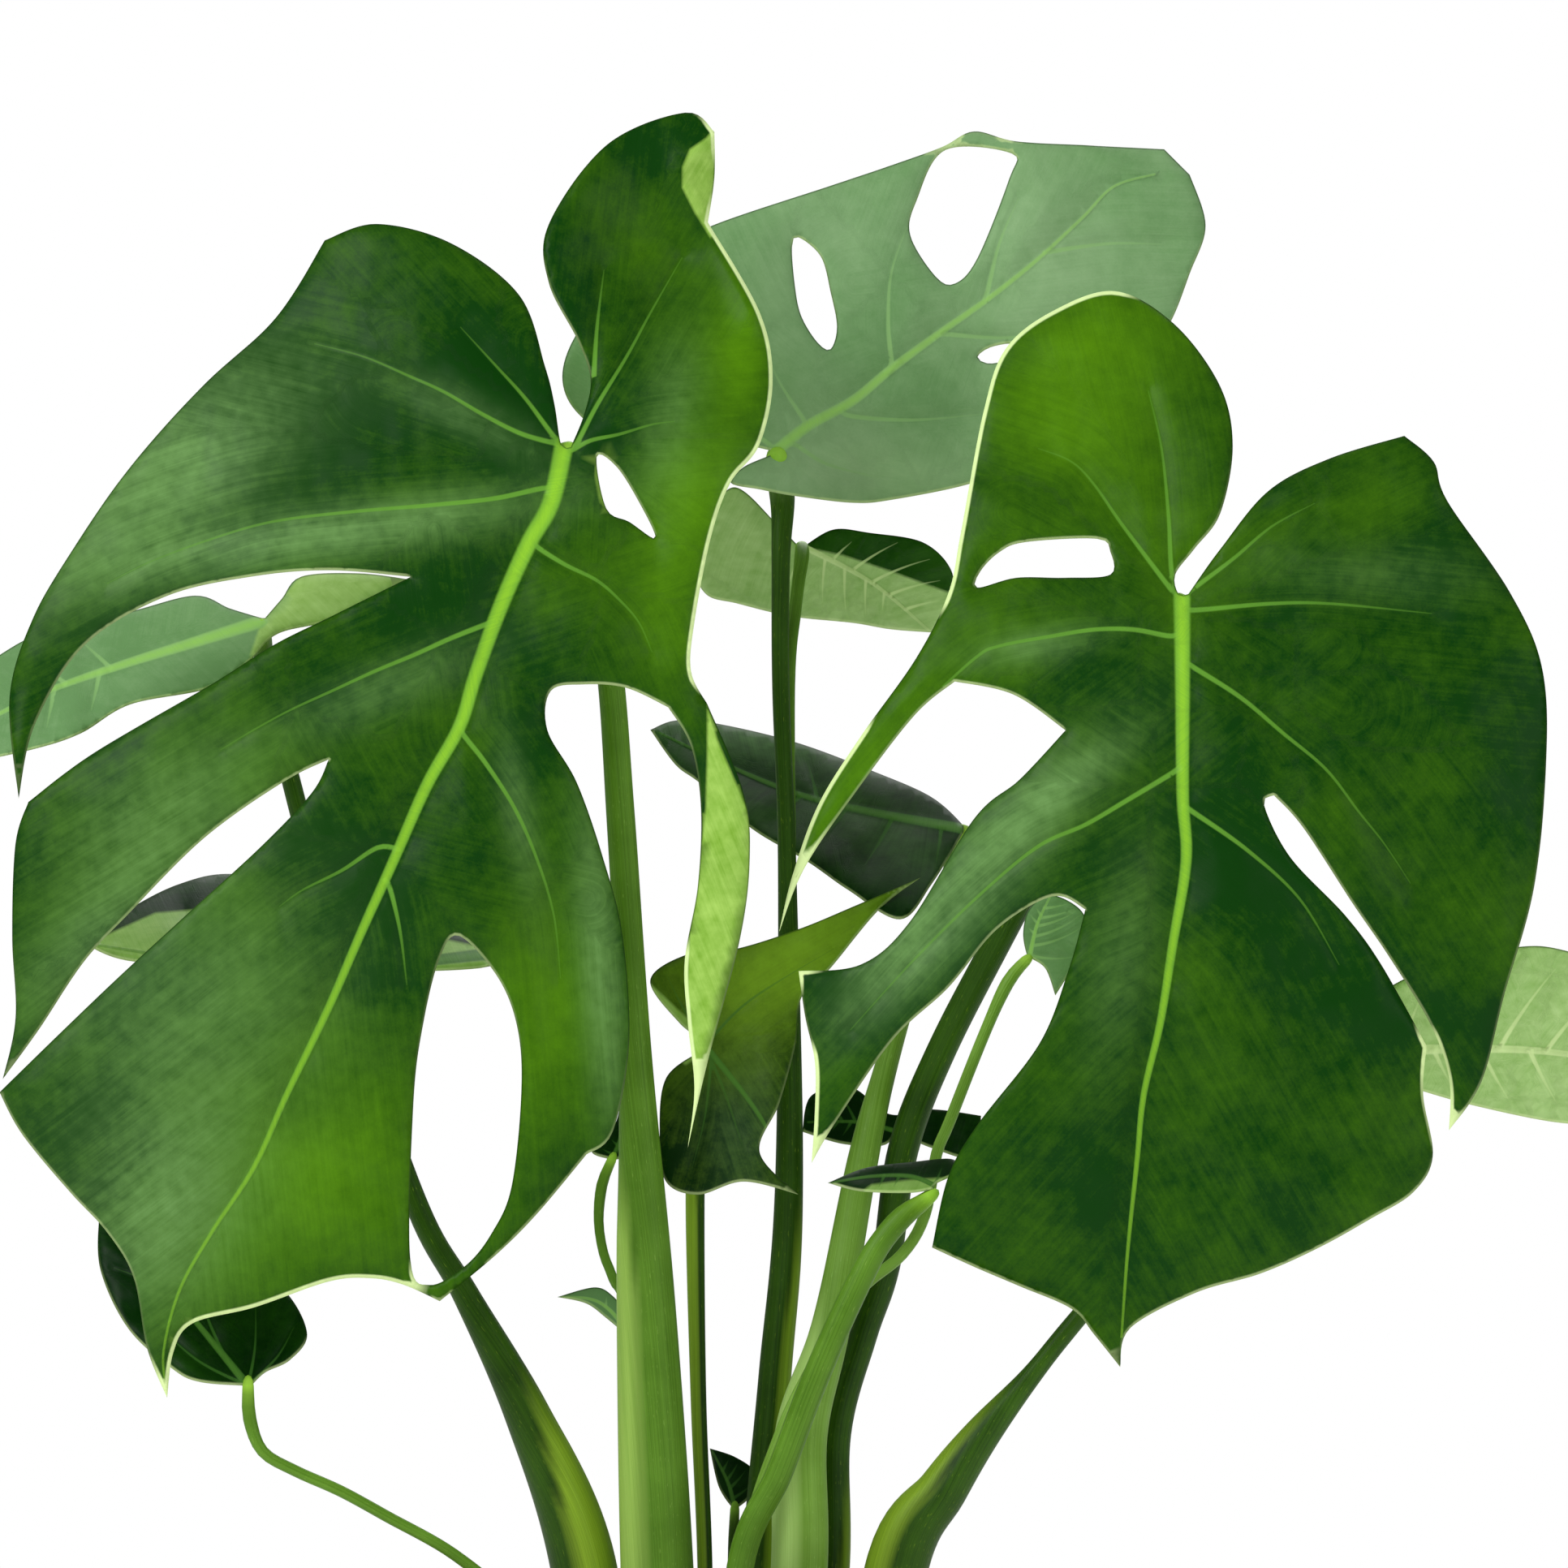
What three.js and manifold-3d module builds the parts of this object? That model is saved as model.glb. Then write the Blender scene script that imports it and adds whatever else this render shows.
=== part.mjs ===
// A monstera in a basket: a woven basket, the nursery pot that stands in it, the soil, and
// sixteen leaves, each a blade on its own stalk. Millimetres, +Z up, front at -Y. The origin is
// the centre of the basket's underside.
import * as THREE from "three";
import * as BufferGeometryUtils from "three/addons/utils/BufferGeometryUtils.js";
import Module from "manifold-3d";

// ---- driving dimensions -------------------------------------------------------------------
const SEAT_GAP = 0.3;

const POT_RIM_RADIUS = 100;
const POT_BASE_RADIUS = 78;
const POT_HEIGHT = 204;
const POT_WALL = 1.6;
const POT_LIP = 4;
const POT_LIP_HEIGHT = 14;
const DRAIN_HOLE_RADIUS = 6;
const DRAIN_HOLE_COUNT = 6;
const DRAIN_RING_RADIUS = 52;

const SOIL_BELOW_RIM = 12;
const SOIL_PLAY = 0.5;

const BASKET_PLAY = 12;
const BASKET_WALL = 8;
const BASKET_FLOOR = 8;
const BASKET_ABOVE_POT = 13;
const BASKET_ROLL_RADIUS = 7.5;

const BLADE_THICKNESS = 1.2;
const BLADE_GRID_STEP = 20;
const SMALL_BLADE_GRID_STEP = 13;
const SMALL_BLADE_LENGTH = 80;
const STALK_GIRTH = 1;
const STALK_SIDES = 8;
const STALK_STEPS_PER_POINT = 2;
const STALK_SEAT_REACH = 10;
const CUTTER_DEPTH = 400;
const MIN_TURN_AREA = 0.05;

// Lengths from the stalk's end to the blade's tip.
const BLADE_LENGTHS = {
  front_left: 317.4,
  front_right: 237.8,
  back_tall: 157,
  back_hanging: 49.1,
  inner_dark: 102.8,
  centre_low: 54.4,
  far_left: 123.7,
  left_edge_on: 131,
  far_right: 132.5,
  low_round: 69.8,
  right_small: 20.3,
  lance: 33.5,
  left_sprout: 25.5,
  centre_sprout: 20.3,
  middle_sprout: 23.2,
  inner_small: 29.8,
};

// ---- places that follow from them ---------------------------------------------------------
const potBottom = BASKET_FLOOR + SEAT_GAP;
const potTop = potBottom + POT_HEIGHT;
const soilTop = potTop - SOIL_BELOW_RIM;
const basketTop = potTop + BASKET_ABOVE_POT;
const basketBaseRadius = POT_BASE_RADIUS + BASKET_PLAY + BASKET_WALL;
const basketRimRadius = POT_RIM_RADIUS + BASKET_PLAY + BASKET_WALL;

const wasm = await Module();
wasm.setup();

// ---- colours ------------------------------------------------------------------------------
const FINISHES = {
  wicker: { color: 0xb98f5c, roughness: 0.8 },
  potPlastic: { color: 0x2b2b2a, roughness: 0.6 },
  soil: { color: 0x2e2119, roughness: 0.95 },
  glossyGreen: { color: 0x2f6b16, roughness: 0.32 },
  satinGreen: { color: 0x5f8d60, roughness: 0.45 },
  darkGreen: { color: 0x1c4414, roughness: 0.35 },
  paleGreen: { color: 0x9dbb6c, roughness: 0.5 },
  stalkGreen: { color: 0x6c9038, roughness: 0.45 },
  darkStalk: { color: 0x33501f, roughness: 0.45 },
};

const plant = new THREE.Group();
const object = new THREE.Group();

function addMesh(group, name, geometry, finish) {
  const material = new THREE.MeshStandardMaterial({ ...FINISHES[finish], metalness: 0 });
  const mesh = new THREE.Mesh(geometry, material);
  mesh.name = name;
  group.add(mesh);
  return mesh;
}

// ---- solids to and from manifold ----------------------------------------------------------
function welded(geometry) {
  const bare = geometry.clone();
  bare.deleteAttribute("normal");
  bare.deleteAttribute("uv");
  return BufferGeometryUtils.mergeVertices(bare, 1e-4);
}

function toSolid(geometry) {
  const closed = welded(geometry);
  return new wasm.Manifold(new wasm.Mesh({
    numProp: 3,
    vertProperties: Float32Array.from(closed.attributes.position.array),
    triVerts: Uint32Array.from(closed.index.array),
  }));
}

function toGeometry(solid) {
  const mesh = solid.getMesh();
  const geometry = new THREE.BufferGeometry();
  geometry.setAttribute("position", new THREE.BufferAttribute(mesh.vertProperties, 3));
  geometry.setIndex(new THREE.BufferAttribute(mesh.triVerts, 1));
  geometry.computeVertexNormals();
  return geometry;
}

function largestPiece(solid) {
  const pieces = solid.decompose();
  return pieces.reduce((best, piece) => (piece.volume() > best.volume() ? piece : best));
}

// A body of revolution from a closed [radius, height] profile.
function turned(profile, segments) {
  const points = profile.map(([radius, height]) => new THREE.Vector2(radius, height));
  const geometry = new THREE.LatheGeometry(points, segments);
  geometry.rotateX(Math.PI / 2);
  return geometry;
}

// ---- holder -------------------------------------------------------------------------------
function basketGeometry() {
  const rollRim = [];
  const rollCentre = basketRimRadius - BASKET_WALL / 2;
  const rollHeight = basketTop - BASKET_ROLL_RADIUS;
  for (let step = 0; step <= 8; step += 1) {
    const angle = -Math.PI / 5 + (step / 8) * Math.PI * 1.4;
    rollRim.push([
      rollCentre + BASKET_ROLL_RADIUS * Math.cos(angle),
      rollHeight + BASKET_ROLL_RADIUS * Math.sin(angle),
    ]);
  }
  return turned([
    [0, 0],
    [basketBaseRadius - 3, 0],
    [basketBaseRadius, 3],
    ...rollRim,
    [basketBaseRadius - BASKET_WALL, BASKET_FLOOR],
    [0, BASKET_FLOOR],
  ], 40);
}

function potRadiusAt(height) {
  return THREE.MathUtils.lerp(POT_BASE_RADIUS, POT_RIM_RADIUS - POT_LIP, height / POT_HEIGHT);
}

function potGeometry() {
  const lipFoot = POT_HEIGHT - POT_LIP_HEIGHT;
  const shell = turned([
    [0, 0],
    [POT_BASE_RADIUS, 0],
    [potRadiusAt(lipFoot), lipFoot],
    [POT_RIM_RADIUS, lipFoot + POT_LIP / 2],
    [POT_RIM_RADIUS, POT_HEIGHT],
    [potRadiusAt(POT_HEIGHT) - POT_WALL, POT_HEIGHT],
    [POT_BASE_RADIUS - POT_WALL, POT_WALL],
    [0, POT_WALL],
  ], 40);
  let solid = toSolid(shell);
  for (let index = 0; index < DRAIN_HOLE_COUNT; index += 1) {
    const angle = (index / DRAIN_HOLE_COUNT) * 2 * Math.PI;
    const drill = new THREE.CylinderGeometry(DRAIN_HOLE_RADIUS, DRAIN_HOLE_RADIUS, 4 * POT_WALL, 12);
    drill.rotateX(Math.PI / 2);
    drill.translate(DRAIN_RING_RADIUS * Math.cos(angle), DRAIN_RING_RADIUS * Math.sin(angle), 0);
    solid = solid.subtract(toSolid(drill));
  }
  return toGeometry(solid);
}

function soilGeometry() {
  const floor = POT_WALL + SEAT_GAP;
  const surface = POT_HEIGHT - SOIL_BELOW_RIM;
  const inset = POT_WALL + SOIL_PLAY;
  return turned([
    [0, floor],
    [potRadiusAt(floor) - inset, floor],
    [potRadiusAt(surface) - inset, surface],
    [0, surface],
  ], 40);
}

// ---- leaves -------------------------------------------------------------------------------
// Each leaf is drawn from the front about the end of its stalk: across to the right, then up.
// Its edge is a closed run of curves that meet at the tips and at the ends of the slits.
// bend says how far back (+Y) the blade lies: along and sag follow the midrib, fold and cup
// the distance from it, lean the height. Each push moves one lobe.
const LEAVES = [
  {
    name: "front_left",
    finish: "glossyGreen",
    stalkFinish: "stalkGreen",
    tip: [-122, -293],
    bend: { along: -0.26, sag: 0.00078, fold: -0.08, cup: 0.0011, lean: 0 },
    pushes: [[50, 60, 45, 18], [46, -160, 45, 14], [-90, 50, 45, 12]],
    edge: [
      [[-1, 0], [-3, 12], [-6, 24], [-14, 46], [-35, 62], [-58, 68], [-74, 63]],
      [[-89, 39], [-111, 18], [-133, -7], [-151, -33], [-163, -54], [-170, -78], [-167, -109]],
      [[-162, -86], [-147, -62], [-122, -47], [-96, -41], [-72, -39], [-47, -41]],
      [[-71, -53], [-89, -62], [-108, -74], [-144, -95], [-164, -110]],
      [[-168, -123], [-169, -151], [-168, -176], [-172, -195]],
      [[-161, -180], [-147, -159], [-133, -144], [-110, -121], [-86, -104], [-72, -97]],
      [[-77, -107], [-92, -123], [-116, -145], [-142, -169], [-173, -199]],
      [[-166, -212], [-151, -230], [-140, -242], [-132, -256], [-128, -278], [-122, -293]],
      [[-120, -279], [-114, -270], [-95, -265], [-72, -257], [-59, -256], [-49, -258], [-38, -263]],
      [[-21, -249], [-8, -236], [7, -218]],
      [[15, -211], [20, -184], [18, -151], [12, -127], [4, -104], [-5, -88], [-4, -76], [6, -74],
        [19, -75], [32, -81]],
      [[39, -93], [42, -112], [41, -136], [37, -159], [38, -178], [40, -198], [38, -216]],
      [[44, -190], [54, -152], [57, -127], [55, -107], [44, -80]],
      [[39, -70], [40, -55], [45, -29], [51, -12], [60, 0], [64, 20], [60, 41], [44, 69]],
      [[46, 83], [46, 97]],
      [[37, 103], [13, 93], [-5, 68], [-5, 50], [4, 32], [8, 20], [6, 9], [2, -1]],
    ],
    holes: [
      [[-32, -151], [-38, -158], [-43, -178], [-46, -202], [-47, -250], [-41, -258], [-30, -252],
        [-22, -242], [-16, -228], [-13, -200], [-14, -180], [-20, -164]],
      [[10, -4], [16, -7], [23, -18], [28, -29], [20, -24], [13, -20]],
    ],
    stalk: [
      [-15, -18, 0, 10.5], [-17.5, -22, 62, 11], [-21, -26, 145, 8.8], [-24.5, -30, 220, 5.2],
      [-29, -35, 295, 4.4], [-33, -39, 345, 4.1], [-42, -46, 392, 4], [-46, -62, 408, 3.6],
    ],
  },
  {
    name: "front_right",
    finish: "glossyGreen",
    stalkFinish: "darkStalk",
    tip: [-19, -237],
    bend: { along: -0.3, sag: 0.00125, fold: -0.08, cup: 0.0012, lean: 0 },
    pushes: [[-112, -70, 35, 8], [80, -150, 35, 6]],
    edge: [
      [[-1, 1], [-2, 7], [4, 15], [12, 26], [16, 47], [12, 66], [-2, 85], [-20, 95], [-39, 89],
        [-54, 77], [-61, 57], [-68, 20], [-72, 1], [-82, -19], [-99, -43], [-112, -64],
        [-120, -86], [-124, -103]],
      [[-116, -83], [-99, -58], [-82, -36], [-70, -26]],
      [[-52, -30], [-36, -41]],
      [[-50, -56], [-64, -68], [-84, -100], [-99, -113], [-118, -115]],
      [[-116, -129], [-113, -143], [-113, -158], [-114, -174]],
      [[-107, -162], [-89, -136], [-72, -120], [-57, -102], [-40, -92], [-30, -96]],
      [[-35, -114], [-44, -137], [-63, -162], [-72, -178], [-77, -200]],
      [[-64, -206], [-50, -212], [-34, -219], [-27, -227], [-19, -237]],
      [[-16, -225], [4, -214], [24, -208], [42, -200], [58, -191], [71, -183], [77, -172],
        [74, -153], [75, -138]],
      [[61, -113], [50, -98], [33, -80], [25, -64], [28, -61]],
      [[37, -71], [52, -94], [63, -110], [76, -131], [82, -148], [82, -164]],
      [[92, -149], [99, -122], [108, -90], [112, -52], [111, -22], [101, 2], [82, 30], [78, 42],
        [69, 50]],
      [[46, 43], [27, 33], [12, 15], [2, 1]],
    ],
    holes: [
      [[-63, 3], [-62, 8], [-56, 14], [-48, 17], [-26, 18], [-22, 14], [-22, 7], [-36, 6], [-51, 6]],
    ],
    stalk: [
      [32, 10, 0, 4.8], [37, 10, 62, 4.8], [38, 11, 102, 4.4], [46, 12, 132, 4.4],
      [53, 12, 154, 4.6], [58.5, 10, 190, 4.8], [70, 8, 220, 4.6], [89, 2, 257, 4.4],
      [115, -8, 305, 4], [132, -18, 338, 3.8], [142, -32, 354, 3.6], [144, -48, 361, 3.2],
    ],
  },
  {
    name: "back_tall",
    finish: "satinGreen",
    stalkFinish: "darkStalk",
    tip: [130, 88],
    bend: { along: 0.5, sag: 0, fold: -0.05, cup: 0.0012, lean: 0 },
    pushes: [],
    edge: [
      [[-1, 0], [-14, 2], [-29, -1], [-46, 2], [-60, 10], [-66, 20], [-64, 32], [-54, 47],
        [-39, 59], [-21, 70], [16, 83], [36, 90], [52, 96], [62, 101], [75, 98], [96, 97], [122, 96]],
      [[130, 88]],
      [[135, 72], [130, 57], [123, 40], [111, 24], [94, 9], [76, -3], [60, -10], [36, -15],
        [24, -16], [6, -14], [-5, -12], [-14, -10], [-10, -5], [-1, -1]],
    ],
    holes: [
      [[7, 67], [5, 64], [6, 51], [8, 42], [13, 34], [17, 32], [19, 39], [17, 50], [14, 61]],
      [[53, 95], [74, 94], [73, 86], [63, 61], [56, 53], [50, 55], [42, 68], [44, 79]],
      [[63, 30], [67, 33], [74, 34], [71, 29], [66, 28]],
    ],
    stalk: [
      [12, 6, 0, 5.5], [14, 8, 62, 5.5], [18.5, 10, 119, 5], [23, 10, 177, 4.4],
      [22.5, 12, 276, 2.9], [20.5, 16, 334, 2.7], [20.5, 24, 372, 2.9], [21, 31, 392, 3.6],
      [19, 22, 407, 3.2],
    ],
  },
  {
    name: "back_hanging",
    finish: "paleGreen",
    stalkFinish: "stalkGreen",
    tip: [41, -27],
    bend: { along: 0, sag: 0, fold: 0.1, cup: 0, lean: -1 },
    pushes: [],
    edge: [
      [[-1, 0], [-8, 7], [-21, 18], [-30, 7], [-34, -5], [-30, -15], [-20, -18], [-3, -22],
        [16, -24], [28, -26], [41, -27]],
      [[46, -18], [47, -8], [38, 1], [21, 4], [10, 5], [1, 0]],
    ],
    holes: [],
    stalk: [
      [19, 22, 0, 3], [22, 22, 62, 3], [27, 18, 177, 2.6], [27, 17, 276, 2.2],
      [26.5, 19, 335, 2], [26.5, 27, 358, 2], [27, 44, 374, 2], [27, 56, 378, 2],
    ],
  },
  {
    name: "inner_dark",
    finish: "darkGreen",
    stalkFinish: "stalkGreen",
    tip: [-98, 31],
    bend: { along: 0, sag: 0, fold: 0.1, cup: 0, lean: 1.6 },
    pushes: [],
    edge: [
      [[0, 1], [-10, 10], [-28, 18], [-52, 27], [-77, 33], [-90, 34], [-98, 31]],
      [[-90, 20], [-82, 14], [-66, 0], [-49, -10], [-36, -19], [-20, -28], [-10, -17], [0, -1]],
    ],
    holes: [],
    stalk: [
      [22, -10, 0, 8], [26.5, -10, 62, 8.6], [27, -8, 102, 8], [36, -4, 135, 6],
      [46, 4, 187, 4.8], [53, 14, 215, 3.6], [62, 32, 245, 3.2], [71, 52, 267, 3.1],
      [76, 57, 283, 2.8], [77.5, 44, 289.5, 2.6],
    ],
  },
  {
    name: "centre_low",
    finish: "darkGreen",
    stalkFinish: "darkStalk",
    tip: [29, -46],
    bend: { along: 0, sag: 0, fold: -0.05, cup: 0.001, lean: 0.22 },
    pushes: [],
    edge: [
      [[0, 1], [-8, 7], [-17, 20], [-6, 28], [10, 30], [29, 36], [46, 43], [67, 52]],
      [[54, 42], [39, 24], [30, 15], [28, 0], [23, -18], [17, -33], [29, -46]],
      [[12, -42], [-2, -46], [-12, -42], [-14, -28], [-12, -10], [0, -1]],
    ],
    holes: [],
    stalk: [
      [-2, 3, 0, 2.4], [-3, 4, 62, 2.3], [-5, 5, 114, 2.4], [-6, 6, 176, 2.9],
      [-4.5, 4, 205, 2.6], [-3, -6, 222.5, 2.2],
    ],
  },
  {
    name: "far_left",
    finish: "satinGreen",
    stalkFinish: "darkStalk",
    tip: [-114, -48],
    bend: { along: 0, sag: 0, fold: -0.05, cup: 0, lean: 1.2 },
    pushes: [],
    edge: [
      [[0, 1], [-10, 4], [-21, 8], [-41, 3], [-64, -2], [-80, -10], [-100, -26], [-114, -48]],
      [[-94, -45], [-70, -40], [-55, -35], [-40, -26], [-16, -21], [-4, -13], [5, -4], [24, 1],
        [46, 13]],
      [[30, 15], [12, 14], [6, 7], [1, 1]],
    ],
    holes: [],
    stalk: [
      [-34, -9, 0, 9], [-41, -9, 62, 10], [-58, -6, 108, 7], [-77, -2, 145, 4.2],
      [-92, 2, 172, 3.6], [-112, 10, 230, 3.2], [-128, 18, 290, 3], [-139, 18, 335, 2.8],
      [-140.5, 4, 354, 2.5],
    ],
  },
  {
    name: "left_edge_on",
    finish: "darkGreen",
    stalkFinish: "stalkGreen",
    tip: [-131, 2],
    bend: { along: 0, sag: 0, fold: 0.05, cup: 0, lean: 2.2 },
    pushes: [],
    edge: [
      [[0, 1], [-15, 6], [-55, 18], [-85, 24], [-103, 21], [-120, 12], [-131, 2]],
      [[-116, -3], [-80, -4], [-42, -6], [-8, -5], [0, -1]],
    ],
    holes: [],
    stalk: [
      [-12, 34, 0, 2.8], [-14, 36, 62, 2.8], [-22, 40, 145, 2.4], [-25, 44, 200, 2.2],
      [-42, 52, 238, 2], [-65, 34, 251.2, 2],
    ],
  },
  {
    name: "far_right",
    finish: "paleGreen",
    stalkFinish: "stalkGreen",
    tip: [132, -12],
    bend: { along: 0, sag: 0, fold: 0.05, cup: 0, lean: -1 },
    pushes: [],
    edge: [
      [[0, 1], [15, 18], [35, 28], [57, 33], [73, 32], [100, 22], [120, 8], [132, -12]],
      [[115, -19], [92, -22], [73, -22], [48, -17], [30, -12], [12, -6], [0, -1]],
    ],
    holes: [],
    stalk: [
      [46, -4, 0, 9], [57, -4, 62, 9.5], [71, -4, 85, 7.5], [83, -3, 102, 5.6],
      [98, -2, 120, 3.3], [111, 0, 136, 2.9], [140, 2, 170, 2.7], [172, 2, 205, 2.5],
      [190, 8, 220, 2.3],
    ],
  },
  {
    name: "low_round",
    finish: "darkGreen",
    stalkFinish: "stalkGreen",
    tip: [-46.8, 51.8],
    bend: { along: 0, sag: 0, fold: 0.05, cup: 0, lean: 0.5 },
    pushes: [],
    edge: [
      [[-1, 0], [-15.2, 1.2], [-23.5, 5.2], [-37, 17.2], [-46, 35.2], [-46.8, 51.8]],
      [[-34, 53], [-16.5, 44.2], [1, 35.5], [12.2, 27.5], [18, 15.5], [12.8, 7.8], [5.2, 4], [1, 0]],
    ],
    holes: [],
    stalk: [
      [-46, -36, 0, 1.8], [-50, -38, 28, 1.8], [-62, -41, 50, 1.8], [-80, -43, 66, 1.8],
      [-101, -45, 78, 1.8], [-115, -46, 85.7, 1.8], [-129, -47, 92, 1.8], [-139, -48, 98, 1.8],
      [-143, -48, 108, 1.8], [-143.5, -48, 118.2, 1.7],
    ],
  },
  {
    name: "right_small",
    finish: "satinGreen",
    stalkFinish: "stalkGreen",
    tip: [6.5, 19.2],
    bend: { along: 0, sag: 0, fold: 0.05, cup: 0, lean: -0.2 },
    pushes: [],
    edge: [
      [[-0.8, 0.5], [-2, 7.5], [0, 15], [6.5, 19.2], [15.8, 14.5], [17.8, 6.5], [13.8, -2.5],
        [8, -12]],
      [[5, -3.8], [0.5, -0.5]],
    ],
    holes: [],
    stalk: [
      [8, -20, 0, 1.8], [9, -22, 62, 1.8], [20, -24, 102, 1.8], [34, -22, 130, 1.8],
      [45, -20, 147, 1.8], [58, -16, 158, 1.8], [65, -14, 170, 1.8], [68.7, -14, 189, 1.8],
      [72.7, -14, 199, 1.8], [83, -14, 225, 1.8], [90.7, -14, 242, 1.8], [97.5, -12, 250, 1.6],
    ],
  },
  {
    name: "lance",
    finish: "darkGreen",
    stalkFinish: "stalkGreen",
    tip: [-33.5, 1],
    bend: { along: 0, sag: 0, fold: 0, cup: 0, lean: 1.6 },
    pushes: [],
    edge: [
      [[0, 0.8], [6.5, 4.2], [4.8, 8.2], [-8.2, 7.2], [-21.8, 5.5], [-33.5, 1]],
      [[-23.5, -1.5], [-8.5, -2], [-0.8, -0.8]],
    ],
    holes: [],
    stalk: [
      [3, -33, 0, 3.6], [8, -36, 62, 4.2], [20, -40, 91, 4.2], [29, -42, 115, 4.2],
      [37, -43, 134, 4.1], [44, -43, 149, 4], [50.5, -43, 161, 3.6], [58, -42, 170, 3],
      [66, -41, 176, 2.2], [68.5, -40, 179.5, 1.6],
    ],
  },
  {
    name: "left_sprout",
    finish: "satinGreen",
    stalkFinish: "stalkGreen",
    tip: [-22.8, 11.5],
    bend: { along: 0, sag: 0, fold: 0, cup: 0, lean: 0.5 },
    pushes: [],
    edge: [
      [[-0.2, 0.8], [-2.5, 7.5], [-5.5, 11.8], [-11.2, 14.5], [-22.8, 11.5]],
      [[-13.8, 9.5], [-7.5, 5], [-1, -0.4]],
    ],
    holes: [],
    stalk: [[-22, 20, 0, 1.6], [-22, 20, 62, 1.6], [-20, 18, 110, 1.5], [-26.2, 14, 132.5, 1.4]],
  },
  {
    name: "centre_sprout",
    finish: "darkGreen",
    stalkFinish: "darkStalk",
    tip: [-7.8, 18.8],
    bend: { along: 0, sag: 0, fold: 0, cup: 0, lean: 0.4 },
    pushes: [],
    edge: [
      [[-0.5, 0.2], [-5, 7], [-7.8, 18.8]],
      [[0, 16.2], [6.2, 11.5], [5.2, 4.5], [0.5, 0.2]],
    ],
    holes: [],
    stalk: [[2, 16, 0, 1.6], [5, 18, 50, 1.5], [6.2, 18, 78, 1.4]],
  },
  {
    name: "middle_sprout",
    finish: "darkGreen",
    stalkFinish: "stalkGreen",
    tip: [3.2, 23],
    bend: { along: 0, sag: 0, fold: 0, cup: 0, lean: 0.4 },
    pushes: [],
    edge: [
      [[-0.5, 0.2], [-6.2, 3], [1.2, 11.5], [3.2, 23]],
      [[9.5, 15.8], [9.5, 3.2], [4.2, 0.8], [0.5, 0]],
    ],
    holes: [],
    stalk: [
      [-24, 8, 0, 1.5], [-24, 8, 62, 1.5], [-27, 4, 135, 1.5], [-31.5, 4, 150, 1.5],
      [-34.5, 5, 158, 1.5], [-36, 6, 168, 1.5], [-35, 6, 179, 1.5], [-32, 6, 186.8, 1.4],
    ],
  },
  {
    name: "inner_small",
    finish: "darkGreen",
    stalkFinish: "darkStalk",
    tip: [-29.8, 0],
    bend: { along: 0, sag: 0, fold: 0, cup: 0, lean: 0.4 },
    pushes: [],
    edge: [
      [[-0.5, 0], [-4.5, -4.2], [-17, -3.8], [-29.8, 0]],
      [[-27, 11.2], [-14.5, 13.8], [-2.5, 5.5], [10.5, 7], [26, 5]],
      [[24.2, -8], [10.5, -5], [0.5, -0.5]],
    ],
    holes: [],
    stalk: [[30, 28, 0, 1.8], [36, 30, 62, 1.8], [42, 34, 115, 1.8], [53, 38, 162, 1.7],
      [57, 44, 195, 1.6]],
  },
];

// How far back the blade lies at a point across and up from the stalk's end.
function depthAt(leaf, across, up) {
  const [tipAcross, tipUp] = leaf.tip;
  const tipDistance = Math.hypot(tipAcross, tipUp);
  const along = (across * tipAcross + up * tipUp) / tipDistance;
  const aside = (across * tipUp - up * tipAcross) / tipDistance;
  const { bend } = leaf;
  let depth = bend.along * along + bend.sag * along * along + bend.lean * up;
  depth += bend.fold * Math.sqrt(aside * aside + 4) + bend.cup * aside * aside;
  for (const [lobeAcross, lobeUp, reach, distance] of leaf.pushes) {
    const away = Math.hypot(across - lobeAcross, up - lobeUp) / reach;
    depth += distance * Math.exp(-away * away);
  }
  return depth;
}

// The closed run of curves as points, without those that lie on a straight stretch.
function outlinePoints(curves) {
  const start = curves.at(-1).at(-1);
  const path = new THREE.Path();
  path.moveTo(start[0], start[1]);
  for (const curve of curves) {
    path.splineThru(curve.map(([across, up]) => new THREE.Vector2(across, up)));
  }
  const points = path.getPoints(1).slice(1);
  return points.filter((point, index) => {
    const before = points.at(index - 1);
    const after = points[(index + 1) % points.length];
    const step = point.clone().sub(before);
    return Math.abs(step.cross(after.clone().sub(before))) > MIN_TURN_AREA;
  });
}

function wound(points, clockwise) {
  return THREE.ShapeUtils.isClockWise(points) === clockwise ? points : points.reverse();
}

function leafShape(leaf) {
  const shape = new THREE.Shape(wound(outlinePoints(leaf.edge), false));
  for (const hole of leaf.holes) {
    shape.holes.push(new THREE.Path(wound(outlinePoints([hole]), true)));
  }
  return shape;
}

function gridStep(leaf) {
  return BLADE_LENGTHS[leaf.name] > SMALL_BLADE_LENGTH ? BLADE_GRID_STEP : SMALL_BLADE_GRID_STEP;
}

// The bent sheet that a blade is cut from, as a closed slab that reaches past its outline.
function bentSheet(leaf, bounds, thickness) {
  const step = gridStep(leaf);
  const width = bounds.max.x - bounds.min.x + 2 * step;
  const height = bounds.max.z - bounds.min.z + 2 * step;
  const columns = Math.round(width / step);
  const rows = Math.round(height / step);
  const sheet = new THREE.BoxGeometry(width, thickness, height, columns, 1, rows);
  const centre = bounds.getCenter(new THREE.Vector3());
  sheet.translate(centre.x, 0, centre.z);
  const place = sheet.attributes.position;
  for (let index = 0; index < place.count; index += 1) {
    const depth = depthAt(leaf, place.getX(index), place.getZ(index));
    place.setY(index, place.getY(index) + depth);
  }
  return toSolid(sheet);
}

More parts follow.
